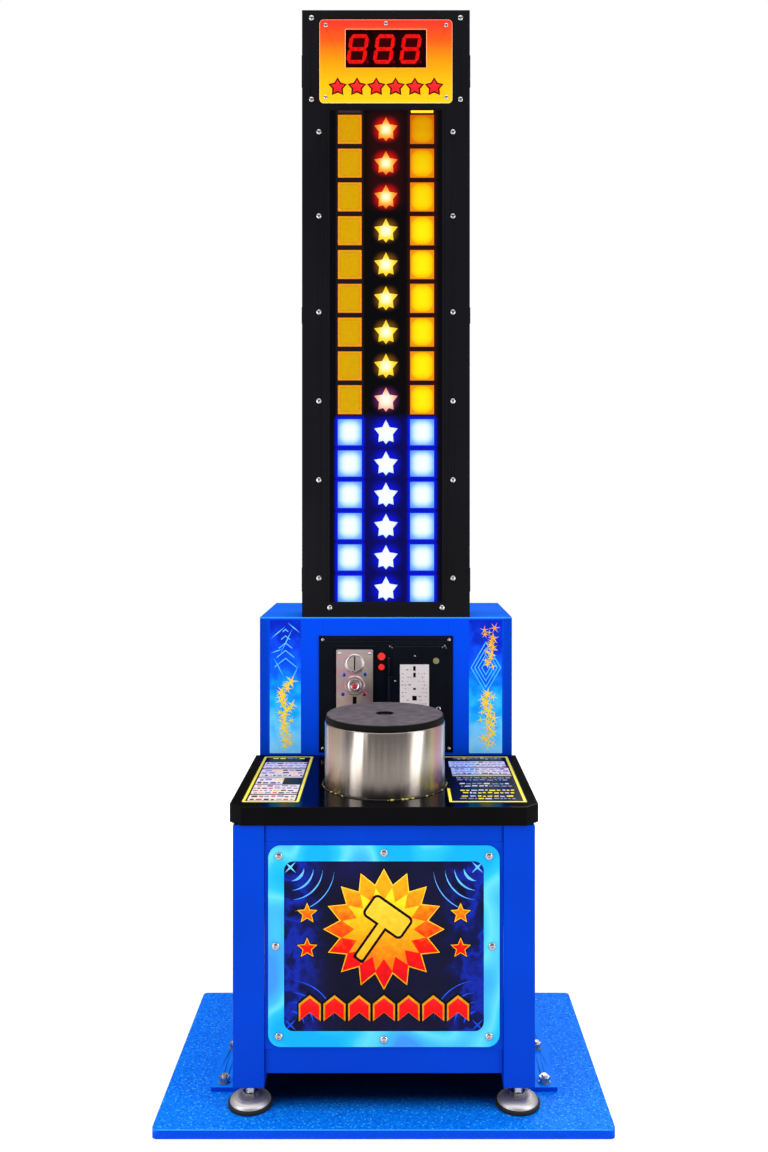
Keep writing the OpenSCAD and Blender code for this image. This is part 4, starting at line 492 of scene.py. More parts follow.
# %% [markdown]
# ## Lights
#
# Each light is a cast **acrylic lens** over a board of LEDs. The lamps behind it are brightest in the
# middle, so a lit lens pales towards its centre and keeps its own colour at the rim. The lights repeat,
# so one pattern serves a whole column: the coordinates are wrapped with the column's pitch, which puts
# every light's middle at zero. What is left is how far a point lies beyond a box of a given half size:
# zero inside it, and growing outside. With a small box that distance paints the pale middle of a lens,
# and with a box as large as the lens it paints the glow on the panel around it.

# %% Distance beyond a box that repeats up a column
COLUMN_PITCH = 82.6
LIGHT_W, AMBER_H, BLUE_H = 54, 66, 59
AMBER, BLUE = (1411.6, 77.2), (979.4, 71.6)  # the height of the lowest row, and the pitch of the rows
ZONE_CHANGE = 1374
LAST_AMBER, TOP_STARS = AMBER[0] + 0.5 * AMBER[1], AMBER[0] + 5.5 * AMBER[1]
FAR = 10000


def wrapped(tree, where, middle, wrap):
    """Puts the nearest of many middles at zero; wrap is half of the pitch along each axis."""
    moved = add(tree, "VectorMath", {0: where, 1: middle}, operation="SUBTRACT")
    return add(tree, "VectorMath", {0: moved, 1: wrap, 2: [-w for w in wrap]}, operation="WRAP")


def beyond(tree, where, middle, half, pitch=FAR, span=1.0):
    """How far a point lies outside a box in the X-Z plane, in units of span mm."""
    cell = wrapped(tree, where, (middle[0] * mm, 0, middle[1] * mm), (FAR * mm, FAR * mm, pitch / 2 * mm))
    outside = add(tree, "VectorMath", {0: mirrored(tree, cell), 1: (half[0] * mm, FAR, half[1] * mm)},
                  operation="SUBTRACT")
    kept = add(tree, "VectorMath", {0: outside, 1: (0, 0, 0)}, operation="MAXIMUM")
    length = add(tree, "VectorMath", {0: kept}, operation="LENGTH", out="Value")
    return add(tree, "Math", {0: length, 1: 1 / (span * mm)}, operation="MULTIPLY")


def above(tree, where, level_mm):
    """1 above a level and 0 below it."""
    height = add(tree, "SeparateXYZ", {"Vector": where}, out="Z")
    return add(tree, "Math", {0: height, 1: level_mm * mm}, operation="GREATER_THAN")


print("rows of amber lights start at", AMBER[0], "mm, blue ones at", BLUE[0], "mm")

# %% [markdown]
# The left amber column is unlit in this game, yet its lenses glow amber as painted light, with a painted
# highlight at the bevel where the edge would catch the room and a painted shadow line just inside it.
# The lit ones emit their colour. The emission is kept near 1, which gives exactly the colour on the
# screen, and anything brighter would burn out to white. A fine grid shows through, the cells of the
# diffuser: real cells are 1.5 mm, and they are drawn 4 mm wide. The top rows are duller and more orange
# than the rest.

# %% Acrylic lenses
DIFFUSER_CELL = 4.0
DULLER_Z = (1760, 2060)


def square_lens(name, rows, height, rim, glow, resin, fade=((0.0, "#FFFFFF"), (1.0, "#FFFFFF"))):
    """A cast acrylic lens whose glow changes at square rings in the last rim mm of its edge."""
    material, tree, surface, where = shader(name, IOR=1.49, Roughness=0.2, Emission_Strength=1.0,
                                            Specular_IOR_Level=0.2)
    first, pitch = rows
    ring = beyond(tree, mirrored(tree, where), (COLUMN_PITCH, first),
                  (LIGHT_W / 2 - rim, height / 2 - rim), pitch, rim * 1.35)
    cells = add(tree, "TexVoronoi", {"Vector": where, "Scale": 1 / (DIFFUSER_CELL * mm), "Randomness": 0.0},
                distance="CHEBYCHEV", out="Distance")
    uneven = add(tree, "MapRange", {"Value": cells, "From Max": 0.6, "To Min": -0.04, "To Max": 0.04})
    share = add(tree, "Math", {0: ring, 1: uneven}, operation="ADD")
    lamps = add(tree, "ValToRGB", {"Fac": share}, glow)
    fading = add(tree, "ValToRGB", {"Fac": rise(tree, where, "Z", *DULLER_Z)}, fade)
    dress(tree, surface, (speckle(tree, where, 6), resin), relief=(cells, 0.05, 0.4),
          glow=add(tree, "Mix", {0: 1.0, 6: lamps, 7: fading}, **MULTIPLIED))
    return material


# painted light: the unlit lenses glow, with a painted highlight at the rim and a painted shadow line inside
acrylic_dim = square_lens(
    "amber_acrylic_unlit", AMBER, AMBER_H, 9,
    [(0.0, "#7C5C00"), (0.24, "#705200"), (0.35, "#241400"), (0.39, "#A84A14"), (1.0, "#A84218")],
    "#9E7804 #A88006", even("#FFFFFF #FFF4F0 #FFC8A0", 0.0, 1.0))
acrylic_lit = square_lens(
    "amber_acrylic_lit", AMBER, AMBER_H, 22,
    [(0.0, "#FEF20E"), (0.36, "#FCE406"), (0.62, "#FCC404"), (0.68, "#F49C10"), (1.0, "#EC8814")],
    "#1E1800 #221A00", [(0.13, "#FFFFFF"), (0.38, "#FFEAD8"), (0.64, "#FADCC0"), (0.9, "#E2AA80")])
acrylic_blue = square_lens(
    "blue_acrylic_lit", BLUE, BLUE_H, 22,
    [(0.0, "#FBFFFC"), (0.32, "#E8FBFF"), (0.56, "#B4E0FF"), (0.72, "#7CB8FF"), (1.0, "#4C8CFF")],
    "#0A1420 #0C1826")
print(acrylic_dim.name, acrylic_lit.name, acrylic_blue.name)

# %% [markdown]
# The stars share one material. Their middle is nearly white everywhere, and the rim takes the colour of
# the zone: blue-white below, yellow above, and orange-red at the top three. Height picks the zone, as
# the coloured foils behind the real lenses do.

# %% Star lenses
STAR_REACH = 27

acrylic_star, tree, surface, where = shader("star_acrylic_lit", IOR=1.49, Roughness=0.2,
                                            Emission_Strength=1.0)
colours = linear("#FFFFFF")
for level, (first, pitch), stops in (
        (0, BLUE, [(0.0, "#FBFFFF"), (0.6, "#F0FBFF"), (0.95, "#A9D4FF")]),
        (ZONE_CHANGE, AMBER, [(0.0, "#FFFFF2"), (0.3, "#FFF0DC"), (0.55, "#FFD0A0"), (0.9, "#EC7C98")]),
        (LAST_AMBER, AMBER, [(0.0, "#FFFFE8"), (0.28, "#FFFAA0"), (0.5, "#FFE838"), (0.95, "#FFC408")]),
        (TOP_STARS, AMBER, [(0.0, "#FFFFD8"), (0.2, "#FFF0A0"), (0.42, "#FFC448"), (0.64, "#FF9228"),
                            (0.9, "#F4480C")])):
    zone = add(tree, "ValToRGB", {"Fac": beyond(tree, where, (0, first), (3, 3), pitch, STAR_REACH)}, stops)
    colours = add(tree, "Mix", {0: above(tree, where, level), 6: colours, 7: zone}, **COLOUR)
dress(tree, surface, (speckle(tree, where, 6), "#1A1810 #201E14"),
      relief=(speckle(tree, where, 3), 0.03, 0.3), glow=colours)
print(acrylic_star.name, "changes at", ZONE_CHANGE, LAST_AMBER, TOP_STARS, "mm")

# %% [markdown]
# The panel that holds the lenses is black ABS. It is matt, so each light tints it all round, and that
# glow is most of what makes the tower look switched on: deep blue below, hot red round the top stars, a
# brown warmth beside the lit amber. Each glow is a distance from the lights, faded to nothing, and wide
# weak glows fill the space between the rows.

# %% Glow on the light panel
panel_abs, tree, surface, where = shader("moulded_abs_light_panel", Emission_Strength=1.0,
                                         Specular_IOR_Level=0.02)
lights = (
    (mirrored(tree, where), COLUMN_PITCH, BLUE, (26, 28.5), 13, (0, ZONE_CHANGE), "#0414E0"),
    (where, 0, BLUE, (4, 4), 42, (0, ZONE_CHANGE), "#0410E0"),
    (where, 0, (1145, FAR), (96, 210), 34, (0, ZONE_CHANGE + 16), "#01035A"),
    (where, 0, AMBER, (2, 2), 36, (ZONE_CHANGE, LAST_AMBER), "#7A2A78"),
    (where, COLUMN_PITCH, AMBER, (26, 32), 14, (ZONE_CHANGE, FAR), "#340C04"),
    (where, -COLUMN_PITCH, AMBER, (29, 40), 5, (ZONE_CHANGE, FAR), "#1C1214"),
    (where, 0, AMBER, (5, 5), 30, (LAST_AMBER, TOP_STARS), "#8A5804"),
    (where, 0, AMBER, (5, 5), 32, (TOP_STARS, FAR), "#F00C02"),
    (where, 0, (1960, FAR), (20, 90), 40, (TOP_STARS - 40, FAR), "#260202"),
)
glow = (0, 0, 0)
for source, x, (first, pitch), half, fade, zone, code in lights:
    away = beyond(tree, source, (x, first), half, pitch, fade)
    near = add(tree, "MapRange", {"Value": away, "To Min": 1.0, "To Max": 0.0},
               interpolation_type="SMOOTHERSTEP")
    inside = add(tree, "Math", {0: above(tree, where, zone[0]), 1: above(tree, where, zone[1])},
                 operation="SUBTRACT")
    share = add(tree, "Math", {0: near, 1: inside}, operation="MULTIPLY")
    tinge = add(tree, "VectorMath", {0: linear(code)[:3], "Scale": share}, operation="SCALE")
    glow = add(tree, "VectorMath", {0: glow, 1: tinge}, operation="ADD")
dress(tree, surface, (speckle(tree, where, 3), "#050406 #080709"), (speckle(tree, where, 1.5), 0.5, 0.65),
      (speckle(tree, where, 1.0), 0.03, 0.4), glow)
print(panel_abs.name, "lit by", len(lights), "kinds of light")

# %% [markdown]
# ## Marquee and display
#
# The marquee is a **back-printed acrylic sheet**: a blend from red at its top to yellow at its bottom,
# with a pale line where the cut edge and the display's rim catch the light. The display behind it is a
# smoked red filter, almost black, and its digits glow red and spill a little light on the filter. The
# points beside the digits are off and only glimmer.

# %% Printed marquee, red filter and digits
MARQUEE_Z, MARQUEE_W, MARQUEE_H = 2182, 303, 190
DISPLAY_Z, DISPLAY_W, DISPLAY_H = 2211, 188, 92
DIGIT_W, DIGIT_H, DIGIT_PITCH = 40, 67, 60.2
POINT_X, POINT_Z = 77.5, 2181.7

marquee_print, tree, surface, where = shader("back_printed_acrylic_marquee", IOR=1.49, Roughness=0.25,
                                             Emission_Strength=0.35)
sheet = add(tree, "ValToRGB",
            {"Fac": rise(tree, where, "Z", MARQUEE_Z - MARQUEE_H / 2, MARQUEE_Z + MARQUEE_H / 2)},
            even("#E0B010 #E8A008 #F08204 #EE4C10 #E82820", 0.0, 1.0))
rim_share = beyond(tree, where, (0, MARQUEE_Z), (MARQUEE_W / 2 - 10, MARQUEE_H / 2 - 10), FAR, 10)
cut_edge = add(tree, "MapRange", {"Value": rim_share, "From Min": 0.82, "From Max": 0.95})
around = beyond(tree, where, (0, DISPLAY_Z), (DISPLAY_W / 2 - 3, DISPLAY_H / 2 - 4), FAR, 6)
display_line = add(tree, "ValToRGB", {"Fac": around}, even("#FFFFFF #000000", 0.36, 0.46))
pale = add(tree, "Math", {0: cut_edge, 1: display_line}, operation="MAXIMUM")
pale = add(tree, "Math", {0: pale, 1: 0.42}, operation="MULTIPLY")
print_colour = add(tree, "Mix", {0: pale, 6: sheet, 7: linear("#FFD0A0")}, **COLOUR)
dress(tree, surface, print_colour, relief=(speckle(tree, where, 5), 0.02, 0.3), glow=print_colour)

display_filter, tree, surface, where = shader("smoked_red_filter", IOR=1.49, Emission_Strength=1.0,
                                              Specular_IOR_Level=0.03)
digit_cell = wrapped(tree, where, (-4 * mm, 0, DISPLAY_Z * mm), (DIGIT_PITCH / 2 * mm, FAR, FAR))
spill = beyond(tree, digit_cell, (0, 0), (DIGIT_W / 2 - 8, DIGIT_H / 2 - 8), FAR, 24)
dress(tree, surface, (speckle(tree, where, 30), "#0A0102 #100103"), (speckle(tree, where, 2), 0.2, 0.3),
      glow=(spill, even("#340204 #180102 #060001", 0.0, 1.0)))

digit_red, tree, surface, where = shader("red_led_segments", Roughness=0.4, Emission_Strength=1.0,
                                         Specular_IOR_Level=0.03)
dots = speckle(tree, where, 5.0, 1.0)
lit = add(tree, "ValToRGB", {"Fac": dots}, "#DC0806 #EE100C #FA1C14")
point_cell = wrapped(tree, where, (POINT_X * mm, 0, 0), (DIGIT_PITCH / 2 * mm, FAR, FAR))
away = beyond(tree, point_cell, (0, POINT_Z), (1, 1), FAR, 5)
unlit_points = add(tree, "MapRange", {"Value": away, "From Min": 0.8, "From Max": 1.0, "To Min": 0.12})
dress(tree, surface, (dots, "#200000 #280000"),
      glow=add(tree, "VectorMath", {0: lit, "Scale": unlit_points}, operation="SCALE"))
print(marquee_print.name, display_filter.name, digit_red.name)

# %% [markdown]
# ## Printed panels
#
# The art panel on the front is **printed aluminium**: a light blue border that looks brushed and lit in
# soft bands, and a navy window with a blue haze at its sides. The bands are a blend printed on the sheet,
# about a hand wide.

# %% Art panel
ART_Z, WINDOW_W, WINDOW_H, WINDOW_R = 333.85, 380, 323, 18
HAZE_X = (105, 165)

art_print, tree, surface, where = shader("printed_aluminium_art_panel", Specular_IOR_Level=0.08)
border = add(tree, "ValToRGB", {"Fac": speckle(tree, where, 95, 0.5, (1, 1, 1.3))},
             [(0.34, "#0AA6F2"), (0.44, "#24B8FA"), (0.5, "#5CCFFA"), (0.57, "#3CB2F8"), (0.66, "#3C8EF2")])
night = add(tree, "ValToRGB", {"Fac": speckle(tree, where, 120)},
            [(0.3, "#06061C"), (0.6, "#0C0C30"), (0.75, "#10104A")])
haze = add(tree, "ValToRGB", {"Fac": speckle(tree, where, 55, 5.0)},
           [(0.4, "#03042A"), (0.52, "#0A28B0"), (0.58, "#04105C"), (0.7, "#02061E")])
sideways = rise(tree, mirrored(tree, where), "X", *HAZE_X, 0.0, 0.8, interpolation_type="SMOOTHSTEP")
night = add(tree, "Mix", {0: sideways, 6: night, 7: haze}, **COLOUR)
ring = beyond(tree, where, (0, ART_Z), (WINDOW_W / 2 - WINDOW_R, WINDOW_H / 2 - WINDOW_R), FAR, WINDOW_R)
outside = add(tree, "Math", {0: ring, 1: 1.0}, operation="GREATER_THAN")
brushing = speckle(tree, where, 0.9, 2.0, (60, 1, 1))
dress(tree, surface, add(tree, "Mix", {0: outside, 6: night, 7: border}, **COLOUR),
      (brushing, 0.28, 0.4), (brushing, 0.01, 0.4))
print(art_print.name, "with a window of", WINDOW_W, "by", WINDOW_H, "mm")

# %% [markdown]
# ## Every solid gets its finish
#
# One table says which node wears what. Sheet steel and castings never have knife edges, and an edge that
# catches the light is what makes metal look real, so each node but the spring, the buffer and the
# button-head screws also gets a small bevel of its own size: the meshes come with their faces split, so a
# weld joins them first, and the bevel then rounds every edge sharper than 40 degrees.

# %% Finishes and bevels
FEET = ("front_left", "front_right", "rear_left", "rear_right")
SMALL_EDGE = 0.4
EDGE_ROUNDS = {"base_frame": 2.0, "table_top": 1.6, "base_plate": 1.5, "cabinet_shell": 0.1,
               "plate_brackets": 1.0, "coin_faceplate": 1.2, "strike_pad": 1.6, "drum_sleeve": 1.6,
               "coin_panel": 0.8, "service_door": 0.8}
KEEP_AS_MADE = ("strike_spring", "buffer_column", "button_head_screws")

finishes = (
    (enamel_blue, "base_plate"),
    (bracket_blue, "plate_brackets"),
    (powder_blue, "base_frame front_hatch base_panels cabinet_shell rear_door"),
    (coin_black, "coin_panel service_door service_hinge"),
    (powder_black, "tower_shell tower_back front_frame head_plate"),
    (gloss_black, "table_top"),
    (zinc_plate, "hex_bolts rear_hinge button_head_screws " + " ".join("foot_stem_" + f for f in FEET)),
    (foot_steel, " ".join("foot_pad_" + f for f in FEET)),
    (art_print, "art_panel"),
    (edge_rubber, "drum_trim"),
    (cast_iron, "guide_housing"),
    (bronze, "guide_bush"),
    (polyurethane, "buffer_column"),
    (black_abs, "strike_sensor coin_mech mains_inlet"),
    (spring_wire, "strike_spring"),
    (stainless, "drum_sleeve"),
    (turned_steel, "drum_head head_bolt plunger_shaft shaft_collar"),
    (pad_rubber, "strike_pad"),
    (plated_zinc, "coin_faceplate"),
    (cast_zinc, "return_button rear_lock"),
    (red_abs, "credit_button test_button"),
    (info_sheet, "info_plate"),
    (brass, "door_lock"),
    (grey_enamel, "cash_box"),
    (mill_aluminium, "power_supply"),
    (solder_mask, "control_board"),
    (white_mask, "led_boards"),
    (panel_abs, "light_panel"),
    (acrylic_dim, "amber_dim_lenses"),
    (acrylic_lit, "amber_lit_lenses"),
    (acrylic_blue, "blue_lenses"),
    (acrylic_star, "star_lenses"),
    (marquee_print, "marquee_panel"),
    (display_filter, "display_module"),
    (digit_red, "digit_segments"),
)


def round_edges(thing, width_mm):
    """Joins the split faces of a node and bevels its sharp edges."""
    weld = thing.modifiers.new("weld", "WELD")
    weld.merge_threshold = 0.01 * mm
    bevel = thing.modifiers.new("edges", "BEVEL")
    bevel.width = width_mm * mm
    bevel.segments = 2
    bevel.limit_method = "ANGLE"
    bevel.angle_limit = math.radians(40)
    bevel.harden_normals = True


dressed = set()
for finish, names in finishes:
    for name in names.split():
        for slot in nodes[name].material_slots:
            slot.material = finish
        if name not in KEEP_AS_MADE:
            round_edges(nodes[name], EDGE_ROUNDS.get(name, SMALL_EDGE))
        dressed.add(name)
print(len(dressed), "nodes dressed, left over:", set(nodes) - dressed)

# %% [markdown]
# ## Printed sheets
#
# The prints are thin vinyl: a coloured sheet with shapes lying on it in layers. Each layer is modelled
# as a real sheet a fraction of a millimetre thick, so it is cut from an outline. The outlines come from
# four small shape makers: a star, a rounded rectangle, a tapering arc and a chevron. Each gives a list of
# points in millimetres.

# %% Shape makers
def polar(middle, radius, degrees):
    """The point at a distance and an angle from middle."""
    angle = math.radians(degrees)
    return middle[0] + radius * math.cos(angle), middle[1] + radius * math.sin(angle)


def star(points, outer, inner, middle=(0, 0), turn=90):
    """A star outline, with its first point at an angle of turn degrees."""
    return [polar(middle, inner if step % 2 else outer, turn + step * 180 / points)
            for step in range(points * 2)]


def rounded(low, high, radius, steps=6):
    """A rectangle from its low corner to its high corner, with round corners."""
    corners = []
    for number, (x, y) in enumerate((high, (low[0], high[1]), low, (high[0], low[1]))):
        middle = (x - radius if x == high[0] else x + radius, y - radius if y == high[1] else y + radius)
        corners += [polar(middle, radius, 90 * (number + step / steps)) for step in range(steps + 1)]
    return corners


def arc_band(middle, radius, width, start, end, steps=24):
    """Part of a ring, between two angles in degrees, that tapers to both ends."""
    outer, inner = [], []
    for step in range(steps + 1):
        share = step / steps
        half = width / 2 * max(math.sin(math.pi * share), 0.12)
        for side, rim in ((1, outer), (-1, inner)):
            rim.append(polar(middle, radius + side * half, start + (end - start) * share))
    return outer + inner[::-1]


def chevron(x, z, half, bar):
    """A chevron that points up."""
    tip = z + half * 0.8
    return [(x - half, z), (x, tip), (x + half, z), (x + half, z + bar), (x, tip + bar), (x - half, z + bar)]


print("a star has", len(star(5, 10, 4)), "corners, a rounded plate", len(rounded((0, 0), (9, 9), 2)))

# %% [markdown]
# Printed colours come from `ink`, a blend along one axis, a little uneven like any print; given a glow, a
# print also emits its colours, as painted light wherever the print is no lamp. `cut_sheet` fills outlines,
# gives them a back and side walls, and lays them on the face they are stuck to. Two outlines in one shape
# make a hole: the filler sees the inner one as a cut-out. `cut_layers` repeats a drawing at several sizes,
# each a layer higher, and `hand_over` is the last step of every new piece.

# %% Ink and the sheet cutter
ART_LAYER = 0.15


def ink(name, stops, low, high, axis="Z", blotch_mm=12, glow=0.0):
    """Printed vinyl whose colours blend along an axis from low to high."""
    # glow makes a print emit its own colours: painted light wherever the print is no lamp
    material, tree, surface, where = shader(name, Roughness=0.3, Specular_IOR_Level=0.06,
                                            Emission_Strength=glow)
    uneven = spread(tree, speckle(tree, where, blotch_mm), -0.12, 0.12)
    share = add(tree, "Math", {0: rise(tree, where, axis, low, high), 1: uneven}, operation="ADD")
    blend = (share, even(stops, 0.0, 1.0) if isinstance(stops, str) else stops)
    dress(tree, surface, blend, relief=(speckle(tree, where, 2.0), 0.02, 0.3), glow=blend if glow else None)
    return material


def hand_over(form, name, finish, body):
    """Makes a finished form a piece of the machine that rides on a body."""
    bmesh.ops.recalc_face_normals(form, faces=form.faces)
    mesh = bpy.data.meshes.new(name)
    form.to_mesh(mesh)
    form.free()
    mesh.materials.append(finish)
    piece = bpy.data.objects.new(name, mesh)
    bpy.context.scene.collection.objects.link(piece)
    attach(piece, body)
    return mesh


def cut_sheet(name, shapes, low, finish, face="front", body="root",
              thickness=ART_LAYER):
    """Cuts closed outlines from a sheet. face is "front" (X-Z plane, towards -Y) or "table" (X-Y)."""
    sheet = bmesh.new()
    for shape in shapes:
        loops = shape if isinstance(shape[0][0], (tuple, list)) else [shape]
        flat = [[Vector((u, v, 0)) for u, v in loop] for loop in loops]
        points = [p for loop in flat for p in loop]
        layers = [[sheet.verts.new((p.x * mm, -depth * mm, p.y * mm) if face == "front" else
                                   (p.x * mm, p.y * mm, depth * mm)) for p in points]
                  for depth in (low, low + thickness)]
        for triangle in tessellate_polygon(flat):
            for layer in layers:
                sheet.faces.new([layer[i] for i in triangle])
        first = 0
        for loop in flat:
            count = len(loop)
            for i in range(count):
                a, b = first + i, first + (i + 1) % count
                sheet.faces.new((layers[0][a], layers[0][b], layers[1][b], layers[1][a]))
            first += count
    hand_over(sheet, name, finish, body)


def cut_layers(name, draw, low, layers):
    """Cuts the drawing of each (ending, size, finish) one layer above the last."""
    for number, (ending, size, finish) in enumerate(layers):
        cut_sheet(name + "_" + ending, draw(size), low + number * ART_LAYER, finish)


print("sheets are", ART_LAYER, "mm thick")

# %% [markdown]
# ## The picture on the front
#
# Machines like this carry a loud picture in reds and golds on a night blue. This one has a design of its
# own: a sunburst with a mallet across it, a row of rising chevrons below and blue arcs in the corners. A
# printer gives each shape a gold edge and a dark edge outside it, and so does this: the same outline
# is cut three times, each a little smaller and one layer higher.

# %% Corner arcs, sunburst, chevrons and mallet
WINDOW_FACE = 345.4
CORE_FACE = WINDOW_FACE + 3 * ART_LAYER
BURST_Z, BURST_R, BURST_POINTS = 366, 112, 16
CHEVRONS, CHEVRON_PITCH, CHEVRON_Z = 7, 47, 194
CORNER_X, CORNER_Z = 178, 150
HANDLE_SINK = 0.02  # the handle lies this much deeper than the head that it runs under

edge_black = ink("black_print", "#050308 #0A0610", 180, 490)
gold = ink("gold_print", "#B87808 #E8A818 #F6CC3C", 180, 470, glow=0.1)
fire = ink("red_to_orange_print", [(0.0, "#C80812"), (0.35, "#F01408"), (0.65, "#F86008"), (1.0, "#F89C10")],
           BURST_Z - 90, BURST_Z + 80, glow=0.15)
crimson = ink("crimson_print", "#E40A0A #EE1010 #DE2430", 192, 246, glow=0.15)
sun_core = ink("yellow_print", "#F06A08 #F8A010 #FCD020", BURST_Z - 60, BURST_Z + 60, glow=0.15)
electric = ink("electric_blue_print", "#0C3CC8 #2468F4 #62B8FC", 180, 490, blotch_mm=18, glow=0.25)


def suns(grow):
    """The large sunburst and four small stars beside it."""
    burst = star(BURST_POINTS, BURST_R + grow, BURST_R * 0.74 + grow, (0, BURST_Z))
    return [burst] + [star(5, 17 + grow, 7.5 + grow / 2, (x, z)) for x in (-146, 146) for z in (330, 396)]


def chevron_row(grow):
    """The row of chevrons along the bottom, each grown by the same amount."""
    return [chevron((i - (CHEVRONS - 1) / 2) * CHEVRON_PITCH, CHEVRON_Z - grow, 18 + grow, 27 + 2 * grow)
            for i in range(CHEVRONS)]


def tilted(outline):
    """Leans a part of the mallet to the right and moves it over the sunburst."""
    c, s = math.cos(math.radians(-35)), math.sin(math.radians(-35))
    return [[(-12 + x * c - z * s, BURST_Z - 4 + x * s + z * c) for x, z in outline]]


def mallet_head(grow):
    """The mallet's head, grown all round."""
    return tilted(rounded((-40 - grow, 14 - grow), (40 + grow, 54 + grow), 6 + grow))


def mallet_handle(grow):
    """The mallet's handle, grown all round."""
    return tilted(rounded((-7 - grow, -62 - grow), (7 + grow, 20 + grow), 4))


corner_arcs = []
for side, up, start in ((-1, -1, 0), (-1, 1, 270), (1, -1, 90), (1, 1, 180)):
    corner = (side * CORNER_X, ART_Z + up * CORNER_Z)
    for radius, width in ((26, 5.0), (44, 3.6), (62, 2.6), (84, 1.8)):
        corner_arcs.append(arc_band(corner, radius, width, start + 6, start + 84))
    corner_arcs.append(star(4, 15, 2.5, corner, start + 45))
cut_sheet("art_corner_arcs", corner_arcs, WINDOW_FACE, electric)
cut_layers("art_sunburst", suns, WINDOW_FACE,
           (("dark_edge", 7, edge_black), ("gold_edge", 3.5, gold), ("fire", 0, fire)))
cut_layers("art_chevrons", chevron_row, WINDOW_FACE,
           (("dark_edge", 6, edge_black), ("gold_edge", 3, gold), ("crimson", 0, crimson)))
cut_sheet("art_sun_core", [star(BURST_POINTS, BURST_R * 0.72, BURST_R * 0.5, (0, BURST_Z), 90 + 11.25)],
          CORE_FACE, sun_core)
for number, (ending, grow, finish) in enumerate((("dark_edge", 5, edge_black), ("gold", 0, gold))):
    low = CORE_FACE + (number + 1) * ART_LAYER
    cut_sheet("art_mallet_" + ending, mallet_head(grow), low, finish)
    cut_sheet("art_mallet_handle_" + ending, mallet_handle(grow), low - HANDLE_SINK, finish)

# %% [markdown]
# ## Wings beside the coin panel
#
# Two tall strips are stuck on the cabinet's front. A printer would blend night blue at their top into sky
# blue at the table, and then lay bright shapes over it. The shapes here are plain: pale rising chevrons
# and long thin glints on the left, nested diamonds on the right, and a fountain of thin-rayed sparkles
# in yellow over both. Where each sparkle sits is drawn from a seeded list of random numbers.

# %% Wing prints
WING_FACE = -CABINET_FRONT
WING_FOOT, WING_TOP = 605, 909
LEFT_WING, RIGHT_WING = (-265, -194), (189.5, 265)

sky_blend = ink("sky_to_night_print", [
    (0.02, "#7CC6F8"), (0.2, "#58BCF8"), (0.34, "#1CA6F8"), (0.46, "#0488FC"), (0.6, "#0456EC"),
    (0.75, "#0440DC"), (0.88, "#0228B4"), (0.98, "#0220AC")], WING_FOOT, WING_TOP, blotch_mm=30, glow=0.2)
pale_cyan = ink("pale_cyan_print", "#7CD4FF #3AA8FF #58B4F8", WING_FOOT, WING_TOP, glow=0.3)
sparkle_yellow = ink("yellow_sparkle_print", [
    (0.0, "#D8C468"), (0.3, "#E8CC30"), (0.6, "#E0C040"), (1.0, "#D88C30")], WING_FOOT, WING_TOP,
                     blotch_mm=6, glow=0.2)
chance = random.Random(11)


def fountain(middle, low, high, count, spread_mm, size):
    """Thin-rayed sparkles scattered up a strip, at different tilts and sizes."""
    shapes = []
    for number in range(count):
        place = (middle + chance.uniform(-spread_mm, spread_mm), low + (high - low) * (number + 0.5) / count)
        reach = size * chance.uniform(0.7, 1.3)
        shapes.append(star(chance.choice((4, 5, 5, 6)), reach, reach * 0.2, place, chance.uniform(50, 130)))
    return shapes


for name, (left, right) in (("left_wing", LEFT_WING), ("right_wing", RIGHT_WING)):
    cut_sheet(name, [rounded((left, WING_FOOT), (right, WING_TOP), 1.5, 2)], WING_FACE, sky_blend)
rising = [chevron(-229, z, half, 2.6) for z, half in ((800, 25), (822, 20), (843, 15), (863, 10), (881, 6))]
glints = [star(2, reach, 1.3, place, turn) for reach, place, turn in (
    (32, (-226, 862), 64), (22, (-246, 880), 40), (18, (-210, 891), 140), (26, (-244, 800), 118),
    (22, (-208, 786), 66), (15, (-249, 838), 20))]
diamonds = [[[(228 + side * (reach - inset) * 0.58, 800 + up * (reach - inset))
              for side, up in ((0, 1), (-1, 0), (0, -1), (1, 0))] for inset in (0, 4)]
            for reach in (18, 32, 46, 60)]
cut_sheet("left_wing_rise", rising, WING_FACE + ART_LAYER, pale_cyan)
cut_sheet("left_wing_glints", glints, WING_FACE + 2 * ART_LAYER, pale_cyan)
cut_sheet("right_wing_diamonds", diamonds, WING_FACE + ART_LAYER, pale_cyan)
for name, areas in (("left", ((-229, 620, 772, 34, 16, 13),)),
                    ("right", ((231, 622, 744, 28, 15, 13), (236, 800, 893, 19, 12, 11)))):
    sparkles = [shape for area in areas for shape in fountain(*area)]
    for layer in range(3):
        cut_sheet("{}_wing_sparkles_{}".format(name, layer), sparkles[layer::3],
                  WING_FACE + (3 + layer) * ART_LAYER, sparkle_yellow)
print("wings:", len(rising) + len(glints) + len(diamonds), "shapes and the sparkles")

# %% [markdown]
# ## Rules plates on the table
#
# On each side of the drum lies a plate with the rules of the game. It is a black sheet with a yellow
# outline, and bands of print in pale lavender, yellow and red. The right plate's outline is open on the
# side of the drum, where the ring passes close to it.

# %% Rules plates
TABLE_FACE = 601
LEFT_PLATE, RIGHT_PLATE = (-274, -164), (126, 275)
PLATE_NEAR, PLATE_FAR = -322, 35
PLATE_PRINT = {"low": -320, "high": 35, "axis": "Y"}
LINE_W, OPEN_FROM = 5.5, -226

